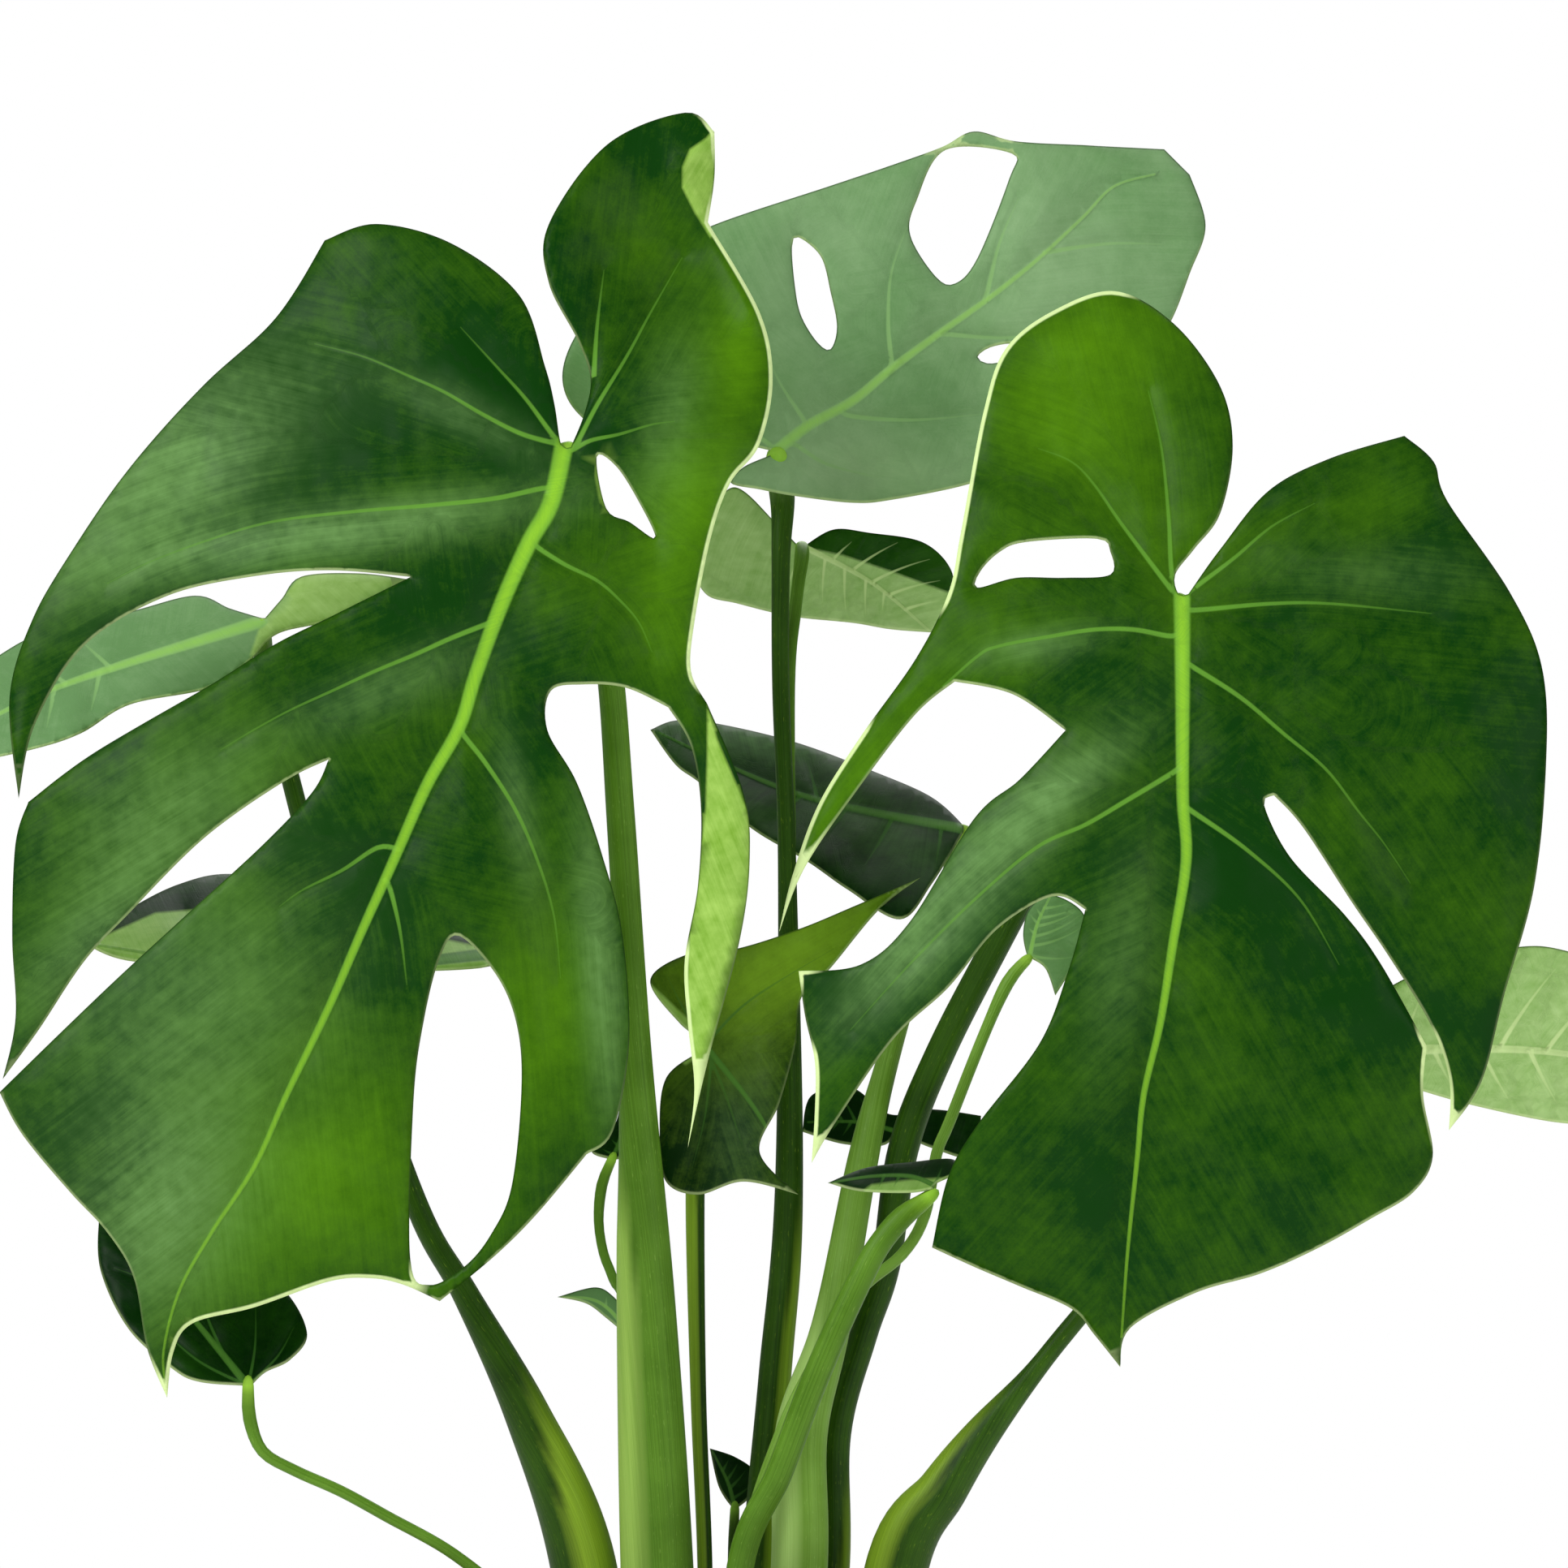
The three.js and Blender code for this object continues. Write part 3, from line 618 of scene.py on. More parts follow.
FRONT_LEFT = Leaf(
    name="front_left", finish=Skin.GLOSSY, tip=(-122, -293),
    bend=Bend(along=-0.26, sag=0.00078, fold=-0.08, cup=0.0011,
        pushes=((50, 60, 45, 18), (46, -160, 45, 14), (-90, 50, 45, 12),)),
    edge=(
        ((-1, 0), (-3, 12), (-6, 24), (-14, 46), (-35, 62), (-58, 68), (-74, 63)),
        ((-89, 39), (-111, 18), (-133, -7), (-151, -33), (-163, -54), (-170, -78), (-167, -109)),
        ((-162, -86), (-147, -62), (-122, -47), (-96, -41), (-72, -39), (-47, -41)),
        ((-71, -53), (-89, -62), (-108, -74), (-144, -95), (-164, -110)),
        ((-168, -123), (-169, -151), (-168, -176), (-172, -195)),
        ((-161, -180), (-147, -159), (-133, -144), (-110, -121), (-86, -104), (-72, -97)),
        ((-77, -107), (-92, -123), (-116, -145), (-142, -169), (-173, -199)),
        ((-166, -212), (-151, -230), (-140, -242), (-132, -256), (-128, -278), (-122, -293)),
        ((-120, -279), (-114, -270), (-95, -265), (-72, -257), (-59, -256), (-49, -258), (-38, -263)),
        ((-21, -249), (-8, -236), (7, -218)),
        ((15, -211), (20, -184), (18, -151), (12, -127), (4, -104), (-5, -88), (-4, -76), (6, -74),
            (19, -75), (32, -81)),
        ((39, -93), (42, -112), (41, -136), (37, -159), (38, -178), (40, -198), (38, -216)),
        ((44, -190), (54, -152), (57, -127), (55, -107), (44, -80)),
        ((39, -70), (40, -55), (45, -29), (51, -12), (60, 0), (64, 20), (60, 41), (44, 69)),
        ((46, 83), (46, 97)),
        ((37, 103), (13, 93), (-5, 68), (-5, 50), (4, 32), (8, 20), (6, 9), (2, -1)),
    ),
    holes=(
        ((-32, -151), (-38, -158), (-43, -178), (-46, -202), (-47, -250), (-41, -258), (-30, -252),
            (-22, -242), (-16, -228), (-13, -200), (-14, -180), (-20, -164)),
        ((10, -4), (16, -7), (23, -18), (28, -29), (20, -24), (13, -20)),
    ),
    stalk=((-15, -18, 0, 10.5), (-17.5, -22, 62, 11), (-21, -26, 145, 8.8), (-24.5, -30, 220, 5.2),
        (-29, -35, 295, 4.4), (-33, -39, 345, 4.1), (-42, -46, 392, 4), (-46, -62, 408, 3.6)),
    rib=((0, 0), (-4, -18), (-11, -31), (-19, -49), (-27, -71), (-32, -87), (-42, -105), (-53, -130),
        (-62, -150), (-72, -173), (-85, -200), (-95, -222), (-108, -242), (-118, -260), (-123, -279),
        (-122, -291)),
    rib_width=5.2,
    veins=(
        ((-2, 0), (-13, 3), (-25, 9), (-37, 16), (-48, 21), (-62, 27), (-77, 31)),
        ((-3, 2), (-12, 14), (-21, 24), (-32, 36)),
        ((-8, -14), (-22, -17), (-41, -19), (-65, -21), (-89, -24), (-107, -29), (-126, -36), (-140, -43)),
        ((-25, -56), (-35, -60), (-46, -65), (-58, -70), (-71, -76), (-84, -82), (-95, -88), (-105, -94)),
        ((-57, -124), (-68, -131), (-80, -137), (-87, -142)),
        ((-9, -31), (0, -37), (10, -42), (17, -48), (23, -55), (27, -64)),
        ((-31, -89), (-24, -98), (-15, -112), (-8, -128), (-3, -145), (-1, -164)),
        ((-53, -137), (-50, -150), (-48, -166)),
        ((3, -1), (10, 12), (19, 27), (27, 42), (36, 58)),
        ((9, 21), (10, 37), (12, 54)),
        ((2, -2), (8, 1), (17, 3), (27, 6), (34, 7)),
    ),
    turned=(
        ((46, 98), (43.5, 95), (38.5, 91.5), (36.2, 86), (36.2, 79.5), (40, 72), (45, 64),
            (47, 68), (48, 90)),
        ((44, -80), (47, -91), (57, -114), (59, -127), (54, -152), (47, -179), (43.5, -192), (38.5, -212),
            (37.5, -176), (38.5, -150), (41.5, -128), (43.5, -112), (44, -95)),
        ((10, -3), (14, -5), (17, -13), (14, -21), (11, -18), (9.5, -10)),
        ((-122, -293), (-119, -276), (-112, -268), (-113, -275), (-118, -284)),
    ),
    creases=(
        Crease(((2, -2), (12, 2), (24, 6), (35, 5)), 14, 5),
        Crease(((46, 96), (37, 88), (36.5, 80), (41, 71), (49, 59), (58, 40)), 7, 7),
        Crease(((43, -80), (43.5, -112), (38.5, -150), (37.5, -180)), 8, -3),
        Crease(((-8, -14), (-41, -19), (-89, -24), (-126, -36)), 14, 2.5),
        Crease(((-25, -56), (-58, -70), (-95, -88)), 14, 2.5),
    ),
    bloom=((-118, -8, 48, 20, 42, 0.95), (-74, -28, 62, 8, 9, 0.9), (-31, 9, 26, 6, -27, 0.5),
        (-124, -113, 32, 20, 30, 0.55), (-54, -75, 32, 8, 24, 0.4), (-116, -175, 46, 34, 40, 0.5),
        (-124, -235, 32, 22, 60, 0.9), (-14, -113, 26, 5, 100, 0.4), (11, -160, 44, 6, 95, 0.75),
        (33, 10, 22, 9, 80, 0.4), (-144, -150, 30, 12, 50, 0.45)),
    glow=((-79, -228, 55, 40, 30, 0.9), (38, -20, 60, 16, 80, 0.9), (-2, -175, 55, 22, 90, 0.5),
        (55, 30, 30, 8, 90, 0.5), (-130, -120, 40, 20, 35, 0.4)),
    pale_edges=(((46, 97), (37, 88), (36.5, 80), (41, 71), (50, 58), (60, 41), (64, 20), (60, 0), (51, -12),
        (45, -29), (40, -55), (39, -70)), ((-122, -293), (-114, -270), (-72, -257), (-49, -258)),
        ((38.5, -216), (39, -190), (37, -159))),
    sheath=Sheath(-1, 190, 0.34),
)
FRONT_RIGHT = Leaf(
    name="front_right", finish=Skin.GLOSSY, tip=(-19, -237),
    bend=Bend(along=-0.3, sag=0.00125, fold=-0.08, cup=0.0012,
        pushes=((-112, -70, 35, 8), (80, -150, 35, 6),)),
    edge=(
        ((-1, 1), (-2, 7), (4, 15), (12, 26), (16, 47), (12, 66), (-2, 85), (-20, 95), (-39, 89),
            (-54, 77), (-61, 57), (-68, 20), (-72, 1), (-82, -19), (-99, -43), (-112, -64), (-120, -86),
            (-124, -103)),
        ((-116, -83), (-99, -58), (-82, -36), (-70, -26)),
        ((-52, -30), (-36, -41)),
        ((-50, -56), (-64, -68), (-84, -100), (-99, -113), (-118, -115)),
        ((-116, -129), (-113, -143), (-113, -158), (-114, -174)),
        ((-107, -162), (-89, -136), (-72, -120), (-57, -102), (-40, -92), (-30, -96)),
        ((-35, -114), (-44, -137), (-63, -162), (-72, -178), (-77, -200)),
        ((-64, -206), (-50, -212), (-34, -219), (-27, -227), (-19, -237)),
        ((-16, -225), (4, -214), (24, -208), (42, -200), (58, -191), (71, -183), (77, -172), (74, -153),
            (75, -138)),
        ((61, -113), (50, -98), (33, -80), (25, -64), (28, -61)),
        ((37, -71), (52, -94), (63, -110), (76, -131), (82, -148), (82, -164)),
        ((92, -149), (99, -122), (108, -90), (112, -52), (111, -22), (101, 2), (82, 30), (78, 42),
            (69, 50)),
        ((46, 43), (27, 33), (12, 15), (2, 1)),
    ),
    holes=(
        ((-63, 3), (-62, 8), (-56, 14), (-48, 17), (-26, 18), (-22, 14), (-22, 7), (-36, 6), (-51, 6)),
    ),
    stalk=((32, 10, 0, 4.8), (37, 10, 62, 4.8), (38, 11, 102, 4.4), (46, 12, 132, 4.4), (53, 12, 154, 4.6),
        (58.5, 10, 190, 4.8), (70, 8, 220, 4.6), (89, 2, 257, 4.4), (115, -8, 305, 4),
        (132, -18, 338, 3.8), (142, -32, 354, 3.6), (144, -48, 361, 3.2)),
    stalk_skin=Skin.DARK_STALK,
    rib=((0, 0), (0, -28), (0, -61), (1, -81), (-3, -106), (-7, -131), (-12, -153), (-14, -173), (-17, -203),
        (-19, -234)),
    rib_width=4.6,
    veins=(
        ((-3, 2), (-18, 22), (-27, 35), (-34, 42), (-44, 46)),
        ((-3, 7), (-4, 25), (-6, 46), (-10, 64)),
        ((-3, -12), (-15, -10), (-27, -10), (-40, -12), (-56, -15), (-64, -19), (-82, -36), (-99, -56)),
        ((-3, -54), (-18, -63), (-30, -70), (-45, -77), (-64, -93), (-84, -113), (-102, -133)),
        ((4, 3), (16, 12), (28, 22), (41, 29)),
        ((3, -4), (27, -2), (46, -2), (77, -5)),
        ((4, -22), (18, -31), (31, -42), (44, -53), (54, -66), (62, -76), (70, -88)),
        ((3, -66), (20, -78), (36, -93), (48, -113)),
    ),
    creases=(
        Crease(((-3, -12), (-27, -10), (-56, -15), (-82, -36), (-99, -56)), 13, 3),
        Crease(((4, -22), (31, -42), (54, -66)), 14, 3),
        Crease(((-3, -54), (-30, -70), (-64, -93)), 13, 3),
    ),
    bloom=((-64, -86, 46, 11, 47, 0.85), (-85, -112, 26, 9, 45, 0.6), (-41, -61, 26, 6, 35, 0.6),
        (-19, -108, 32, 10, 80, 0.3), (61, 7, 34, 9, 0, 0.2), (-46, -15, 20, 5, 10, 0.5)),
    glow=((-26, 64, 50, 40, 90, 0.85), (-92, -45, 55, 16, 52, 0.8), (40, 20, 40, 14, 20, 0.3),
        (-60, -140, 30, 16, 60, 0.3)),
    pale_edges=(((-20, 95), (-54, 77), (-61, 57), (-68, 20), (-72, 1)),
        ((-99, -43), (-112, -64), (-124, -103), (-118, -115)), ((-113, -143), (-114, -174)),
        ((75, -138), (82, -164))),
    sheath=Sheath(1, 90, 0.4),
)
BACK_TALL = Leaf(
    name="back_tall", finish=Skin.SATIN, tip=(130, 88),
    bend=Bend(along=0.5, fold=-0.05, cup=0.0012),
    edge=(
        ((-1, 0), (-14, 2), (-29, -1), (-46, 2), (-60, 10), (-66, 20), (-64, 32), (-54, 47), (-39, 59),
            (-21, 70), (16, 83), (36, 90), (52, 96), (62, 101), (75, 98), (96, 97), (122, 96)),
        ((130, 88),),
        ((135, 72), (130, 57), (123, 40), (111, 24), (94, 9), (76, -3), (60, -10), (36, -15), (24, -16),
            (6, -14), (-5, -12), (-14, -10), (-10, -5), (-1, -1)),
    ),
    holes=(
        ((7, 67), (5, 64), (6, 51), (8, 42), (13, 34), (17, 32), (19, 39), (17, 50), (14, 61)),
        ((53, 95), (74, 94), (73, 86), (63, 61), (56, 53), (50, 55), (42, 68), (44, 79)),
        ((63, 30), (67, 33), (74, 34), (71, 29), (66, 28)),
    ),
    stalk=((12, 6, 0, 5.5), (14, 8, 62, 5.5), (18.5, 10, 119, 5), (23, 10, 177, 4.4), (22.5, 12, 276, 2.9),
        (20.5, 16, 334, 2.7), (20.5, 24, 372, 2.9), (21, 31, 392, 3.6), (19, 22, 407, 3.2)),
    stalk_skin=Skin.DARK_STALK,
    rib=((0, 0), (10, 8), (24, 16), (36, 26), (52, 38), (66, 48), (81, 60), (96, 74), (106, 84), (119, 88)),
    rib_width=3.2,
    veins=(
        ((9, 9), (2, 20), (-2, 28)),
        ((36, 28), (35, 40), (36, 56), (41, 71)),
        ((24, 11), (43, 10), (64, 12)),
        ((66, 50), (70, 66), (76, 80)),
        ((52, 37), (71, 36), (91, 38)),
        ((84, 63), (104, 66), (121, 66)),
        ((-2, 2), (-16, 12), (-34, 22)),
        ((6, 2), (16, -4), (32, -8)),
    ),
    glow=((20, 70, 60, 30, 20, 0.3), (95, 60, 50, 30, 30, 0.4), (20, -8, 50, 14, 0, 0.9)),
    creases=(
        Crease(((36, 28), (35, 40), (36, 56), (41, 71)), 10, 2),
        Crease(((96, 97), (112, 90), (130, 86)), 6, 4),
    ),
    sheath=Sheath(1, 178, 0.34),
)
BACK_HANGING = Leaf(
    name="back_hanging", finish=Skin.PALE, tip=(41, -27),
    bend=Bend(fold=0.1, lean=-1),
    edge=(
        ((-1, 0), (-8, 7), (-21, 18), (-30, 7), (-34, -5), (-30, -15), (-20, -18), (-3, -22), (16, -24),
            (28, -26), (41, -27)),
        ((46, -18), (47, -8), (38, 1), (21, 4), (10, 5), (1, 0)),
    ),
    stalk=((15, 19, 0, 3), (17, 21, 62, 3), (22.5, 20, 177, 2.6), (23, 20, 276, 2.2), (23, 23, 335, 2),
        (25, 31, 358, 2), (27, 45, 374, 2), (27, 56, 378, 2)),
    under_front=True,
    turned=(((0.5, -0.5), (6, 5), (18, 8), (38, 5), (50, -3), (50, -16), (28, -8), (13, -3)),),
)
INNER_DARK = Leaf(
    name="inner_dark", finish=Skin.DARK, tip=(-98, 31),
    bend=Bend(fold=0.1, lean=1.6),
    edge=(
        ((0, 1), (-10, 10), (-28, 18), (-52, 27), (-77, 33), (-90, 34), (-98, 31)),
        ((-90, 20), (-82, 14), (-66, 0), (-49, -10), (-36, -19), (-20, -28), (-10, -17), (0, -1)),
    ),
    stalk=((22, -10, 0, 8), (26.5, -10, 62, 8.6), (27, -8, 102, 8), (36, -4, 135, 6), (46, 4, 187, 4.8),
        (53, 14, 215, 3.6), (62, 32, 245, 3.2), (71, 52, 267, 3.1), (76, 57, 283, 2.8),
        (77.5, 44, 289.5, 2.6)),
    stalk_skin=Skin.LIGHT_STALK,
    sheath=Sheath(-1, 150, 0.5),
    bloom=((-60, 28, 50, 6, -12, 0.8), (-25, 0, 40, 8, -28, 0.5), (-70, 8, 30, 6, -30, 0.4)),
)
CENTRE_LOW = Leaf(
    name="centre_low", finish=Skin.OLIVE, tip=(29, -46),
    bend=Bend(fold=-0.05, cup=0.001, lean=0.22),
    edge=(
        ((0, 1), (-8, 7), (-17, 20), (-6, 28), (10, 30), (29, 36), (46, 43), (67, 52)),
        ((54, 42), (39, 24), (30, 15), (28, 0), (23, -18), (17, -33), (29, -46)),
        ((12, -42), (-2, -46), (-12, -42), (-14, -28), (-12, -10), (0, -1)),
    ),
    stalk=((-2, 3, 0, 2.4), (-3, 4, 62, 2.3), (-5, 5, 114, 2.4), (-6, 6, 176, 2.9), (-4.5, 4, 205, 2.6),
        (-3, -6, 222.5, 2.2)),
    stalk_skin=Skin.DARK_STALK,
    veins=(
        ((0, 0), (-7, 12), (-12, 22)), ((0, 0), (14, 14), (40, 30)), ((0, 0), (6, -14), (12, -32)),
        ((2, -4), (0, -22), (-4, -38)),
    ),
    glow=((30, 30, 50, 20, 35, 1.0),),
    bloom=((10, -25, 20, 12, 90, 0.4),),
    turned=(((-18, 20), (-4.5, 7.5), (-1, -2.5), (-6, -6), (-14, 0), (-20, 10)),),
    creases=(Crease(((-17, 20), (-3, 5), (28, 8), (66, 50)), 8, -4),),
    sheath=Sheath(-1, 215, 0.66),
)
FAR_LEFT = Leaf(
    name="far_left", finish=Skin.SATIN, tip=(-114, -48),
    bend=Bend(fold=-0.05, lean=1.2),
    edge=(
        ((0, 1), (-10, 4), (-21, 8), (-41, 3), (-64, -2), (-80, -10), (-100, -26), (-114, -48)),
        ((-94, -45), (-70, -40), (-55, -35), (-40, -26), (-16, -21), (-4, -13), (5, -4), (24, 1),
            (46, 13)),
        ((30, 15), (12, 14), (6, 7), (1, 1)),
    ),
    stalk=((-34, -9, 0, 9), (-41, -9, 62, 10), (-58, -6, 108, 7), (-77, -2, 145, 4.2), (-92, 2, 172, 3.6),
        (-112, 10, 230, 3.2), (-128, 18, 290, 3), (-139, 18, 335, 2.8), (-140.5, 4, 354, 2.5)),
    stalk_skin=Skin.DARK_STALK,
    rib=((0, 0), (-22, -7), (-44, -14), (-66, -22), (-90, -34), (-110, -46)),
    rib_width=3.6,
    turned=(((-4, -13), (0, 0), (6, 7), (12, 15), (30, 17), (48, 14), (24, 0), (5, -5)),),
    sheath=Sheath(1, 122, 0.62),
)
LEFT_EDGE_ON = Leaf(
    name="left_edge_on", finish=Skin.DARK, tip=(-131, 2),
    bend=Bend(fold=0.05, lean=2.2),
    edge=(
        ((0, 1), (-15, 6), (-55, 18), (-85, 24), (-103, 21), (-120, 12), (-131, 2)),
        ((-116, -3), (-80, -4), (-42, -6), (-8, -5), (0, -1)),
    ),
    stalk=((-12, 34, 0, 2.8), (-14, 36, 62, 2.8), (-22, 40, 145, 2.4), (-25, 44, 200, 2.2), (-42, 52, 238, 2),
        (-65, 34, 251.2, 2)),
    turned=(((-132, 2), (-110, 12), (-85, 14), (-40, 8), (0, 0), (-8, -6), (-42, -7),
        (-80, -5), (-117, -4)),),
    creases=(Crease(((-131, 2), (-85, 14), (0, 0)), 8, -3),),
)
FAR_RIGHT = Leaf(
    name="far_right", finish=Skin.PALE, tip=(132, -12),
    bend=Bend(fold=0.05, lean=-1),
    edge=(
        ((0, 1), (15, 18), (35, 28), (57, 33), (73, 32), (100, 22), (120, 8), (132, -12)),
        ((115, -19), (92, -22), (73, -22), (48, -17), (30, -12), (12, -6), (0, -1)),
    ),
    stalk=((46, -4, 0, 9), (57, -4, 62, 9.5), (71, -4, 85, 7.5), (83, -3, 102, 5.6), (98, -2, 120, 3.3),
        (111, 0, 136, 2.9), (140, 2, 170, 2.7), (172, 2, 205, 2.5), (190, 8, 220, 2.3)),
    under_front=True,
    stalk_skin=Skin.DARK_STALK,
    sheath=Sheath(-1, 118, 0.36),
)
LOW_ROUND = Leaf(
    name="low_round", finish=Skin.DARK, tip=(-46.8, 51.8),
    bend=Bend(fold=0.05, lean=0.5),
    edge=(
        ((-1, 0), (-15.2, 1.2), (-23.5, 5.2), (-37, 17.2), (-46, 35.2), (-46.8, 51.8)),
        ((-34, 53), (-16.5, 44.2), (1, 35.5), (12.2, 27.5), (18, 15.5), (12.8, 7.8), (5.2, 4), (1, 0)),
    ),
    stalk=((-46, -36, 0, 1.8), (-50, -38, 28, 1.8), (-62, -41, 50, 1.8), (-80, -43, 66, 1.8),
        (-101, -45, 78, 1.8), (-115, -46, 85.7, 1.8), (-129, -47, 92, 1.8), (-139, -48, 98, 1.8),
        (-143, -48, 108, 1.8), (-143.5, -48, 118.2, 1.7)),
    rib=((0, 0), (-10, 12), (-22, 26), (-36, 42), (-46, 51)),
    veins=(((0, 0), (-16, 8), (-32, 22)), ((0, 0), (2, 12), (2, 26)), ((0, 0), (9, 9), (14, 18)),
        ((-8, 10), (-14, 24), (-18, 40)), ((-20, 24), (-32, 32), (-42, 36))),
)
RIGHT_SMALL = Leaf(
    name="right_small", finish=Skin.SATIN, tip=(6.5, 19.2),
    bend=Bend(fold=0.05, lean=-0.2),
    edge=(
        ((-0.8, 0.5), (-2, 7.5), (0, 15), (6.5, 19.2), (15.8, 14.5), (17.8, 6.5), (13.8, -2.5),
            (8, -12)),
        ((5, -3.8), (0.5, -0.5)),
    ),
    stalk=((8, -20, 0, 1.8), (9, -22, 62, 1.8), (20, -24, 102, 1.8), (34, -22, 130, 1.8), (45, -20, 147, 1.8),
        (58, -16, 158, 1.8), (65, -14, 170, 1.8), (68.7, -14, 189, 1.8), (72.7, -14, 199, 1.8),
        (83, -14, 225, 1.8), (90.7, -14, 242, 1.8), (97.5, -12, 250, 1.6)),
    stalk_skin=Skin.LIGHT_STALK,
)
LANCE = Leaf(
    name="lance", finish=Skin.DARK, tip=(-33.5, 1),
    bend=Bend(lean=1.6),
    edge=(
        ((0, 0.8), (6.5, 4.2), (4.8, 8.2), (-8.2, 7.2), (-21.8, 5.5), (-33.5, 1)),
        ((-23.5, -1.5), (-8.5, -2), (-0.8, -0.8)),
    ),
    stalk=((3, -33, 0, 3.6), (8, -36, 62, 4.2), (20, -40, 91, 4.2), (29, -42, 115, 4.2), (37, -43, 134, 4.1),
        (44, -43, 149, 4), (50.5, -43, 161, 3.6), (58, -42, 170, 3), (66, -41, 176, 2.2),
        (68.5, -40, 179.5, 1.6)),
    rib=((0, 0), (-8, 3), (-20, 3), (-33, 1)),
    turned=(((-25, -3), (-20, 0.5), (-8, 2), (2, 2.5), (7, 4), (0, -2), (-9, -3)),),
)
LEFT_SPROUT = Leaf(
    name="left_sprout", finish=Skin.SATIN, tip=(-22.8, 11.5),
    bend=Bend(lean=0.5),
    edge=(
        ((-0.2, 0.8), (-2.5, 7.5), (-5.5, 11.8), (-11.2, 14.5), (-22.8, 11.5)),
        ((-13.8, 9.5), (-7.5, 5), (-1, -0.4)),
    ),
    stalk=((-22, 20, 0, 1.6), (-22, 20, 62, 1.6), (-20, 18, 110, 1.5), (-26.2, 14, 132.5, 1.4)),
    rib=((0, 0), (-7, 8), (-13, 11), (-22, 11.5)),
)
CENTRE_SPROUT = Leaf(
    name="centre_sprout", finish=Skin.DARK, tip=(-7.8, 18.8),
    bend=Bend(lean=0.4),
    edge=(
        ((-0.5, 0.2), (-5, 7), (-7.8, 18.8)),
        ((0, 16.2), (6.2, 11.5), (5.2, 4.5), (0.5, 0.2)),
    ),
    stalk=((2, 16, 0, 1.6), (5, 18, 50, 1.5), (6.2, 18, 78, 1.4)),
    stalk_skin=Skin.DARK_STALK,
    rib=((0, 0), (-2, 8), (-7, 18)),
)
MIDDLE_SPROUT = Leaf(
    name="middle_sprout", finish=Skin.DARK, tip=(3.2, 23),
    bend=Bend(lean=0.4),
    edge=(
        ((-0.5, 0.2), (-6.2, 3), (1.2, 11.5), (3.2, 23)),
        ((9.5, 15.8), (9.5, 3.2), (4.2, 0.8), (0.5, 0)),
    ),
    stalk=((-24, 8, 0, 1.5), (-24, 8, 62, 1.5), (-27, 4, 135, 1.5), (-31.5, 4, 150, 1.5),
        (-34.5, 5, 158, 1.5), (-36, 6, 168, 1.5), (-35, 6, 179, 1.5), (-32, 6, 186.8, 1.4)),
    rib=((0, 0), (3, 8), (3.5, 21)),
)
INNER_SMALL = Leaf(
    name="inner_small", finish=Skin.DARK, tip=(-29.8, 0),
    bend=Bend(lean=0.4),
    edge=(
        ((-0.5, 0), (-4.5, -4.2), (-17, -3.8), (-29.8, 0)),
        ((-27, 11.2), (-14.5, 13.8), (-2.5, 5.5), (10.5, 7), (26, 5)),
        ((24.2, -8), (10.5, -5), (0.5, -0.5)),
    ),
    stalk=((30, 28, 0, 1.8), (36, 30, 62, 1.8), (42, 34, 115, 1.8), (53, 38, 162, 1.7), (57, 44, 195, 1.6)),
    stalk_skin=Skin.DARK_STALK,
    rib=((0, 0), (-12, 3), (-28, 3)),
)
LEAVES = (
    FRONT_LEFT, FRONT_RIGHT, BACK_TALL, BACK_HANGING, INNER_DARK, CENTRE_LOW, FAR_LEFT, LEFT_EDGE_ON,
    FAR_RIGHT, LOW_ROUND, RIGHT_SMALL, LANCE, LEFT_SPROUT, CENTRE_SPROUT, MIDDLE_SPROUT, INNER_SMALL,
)


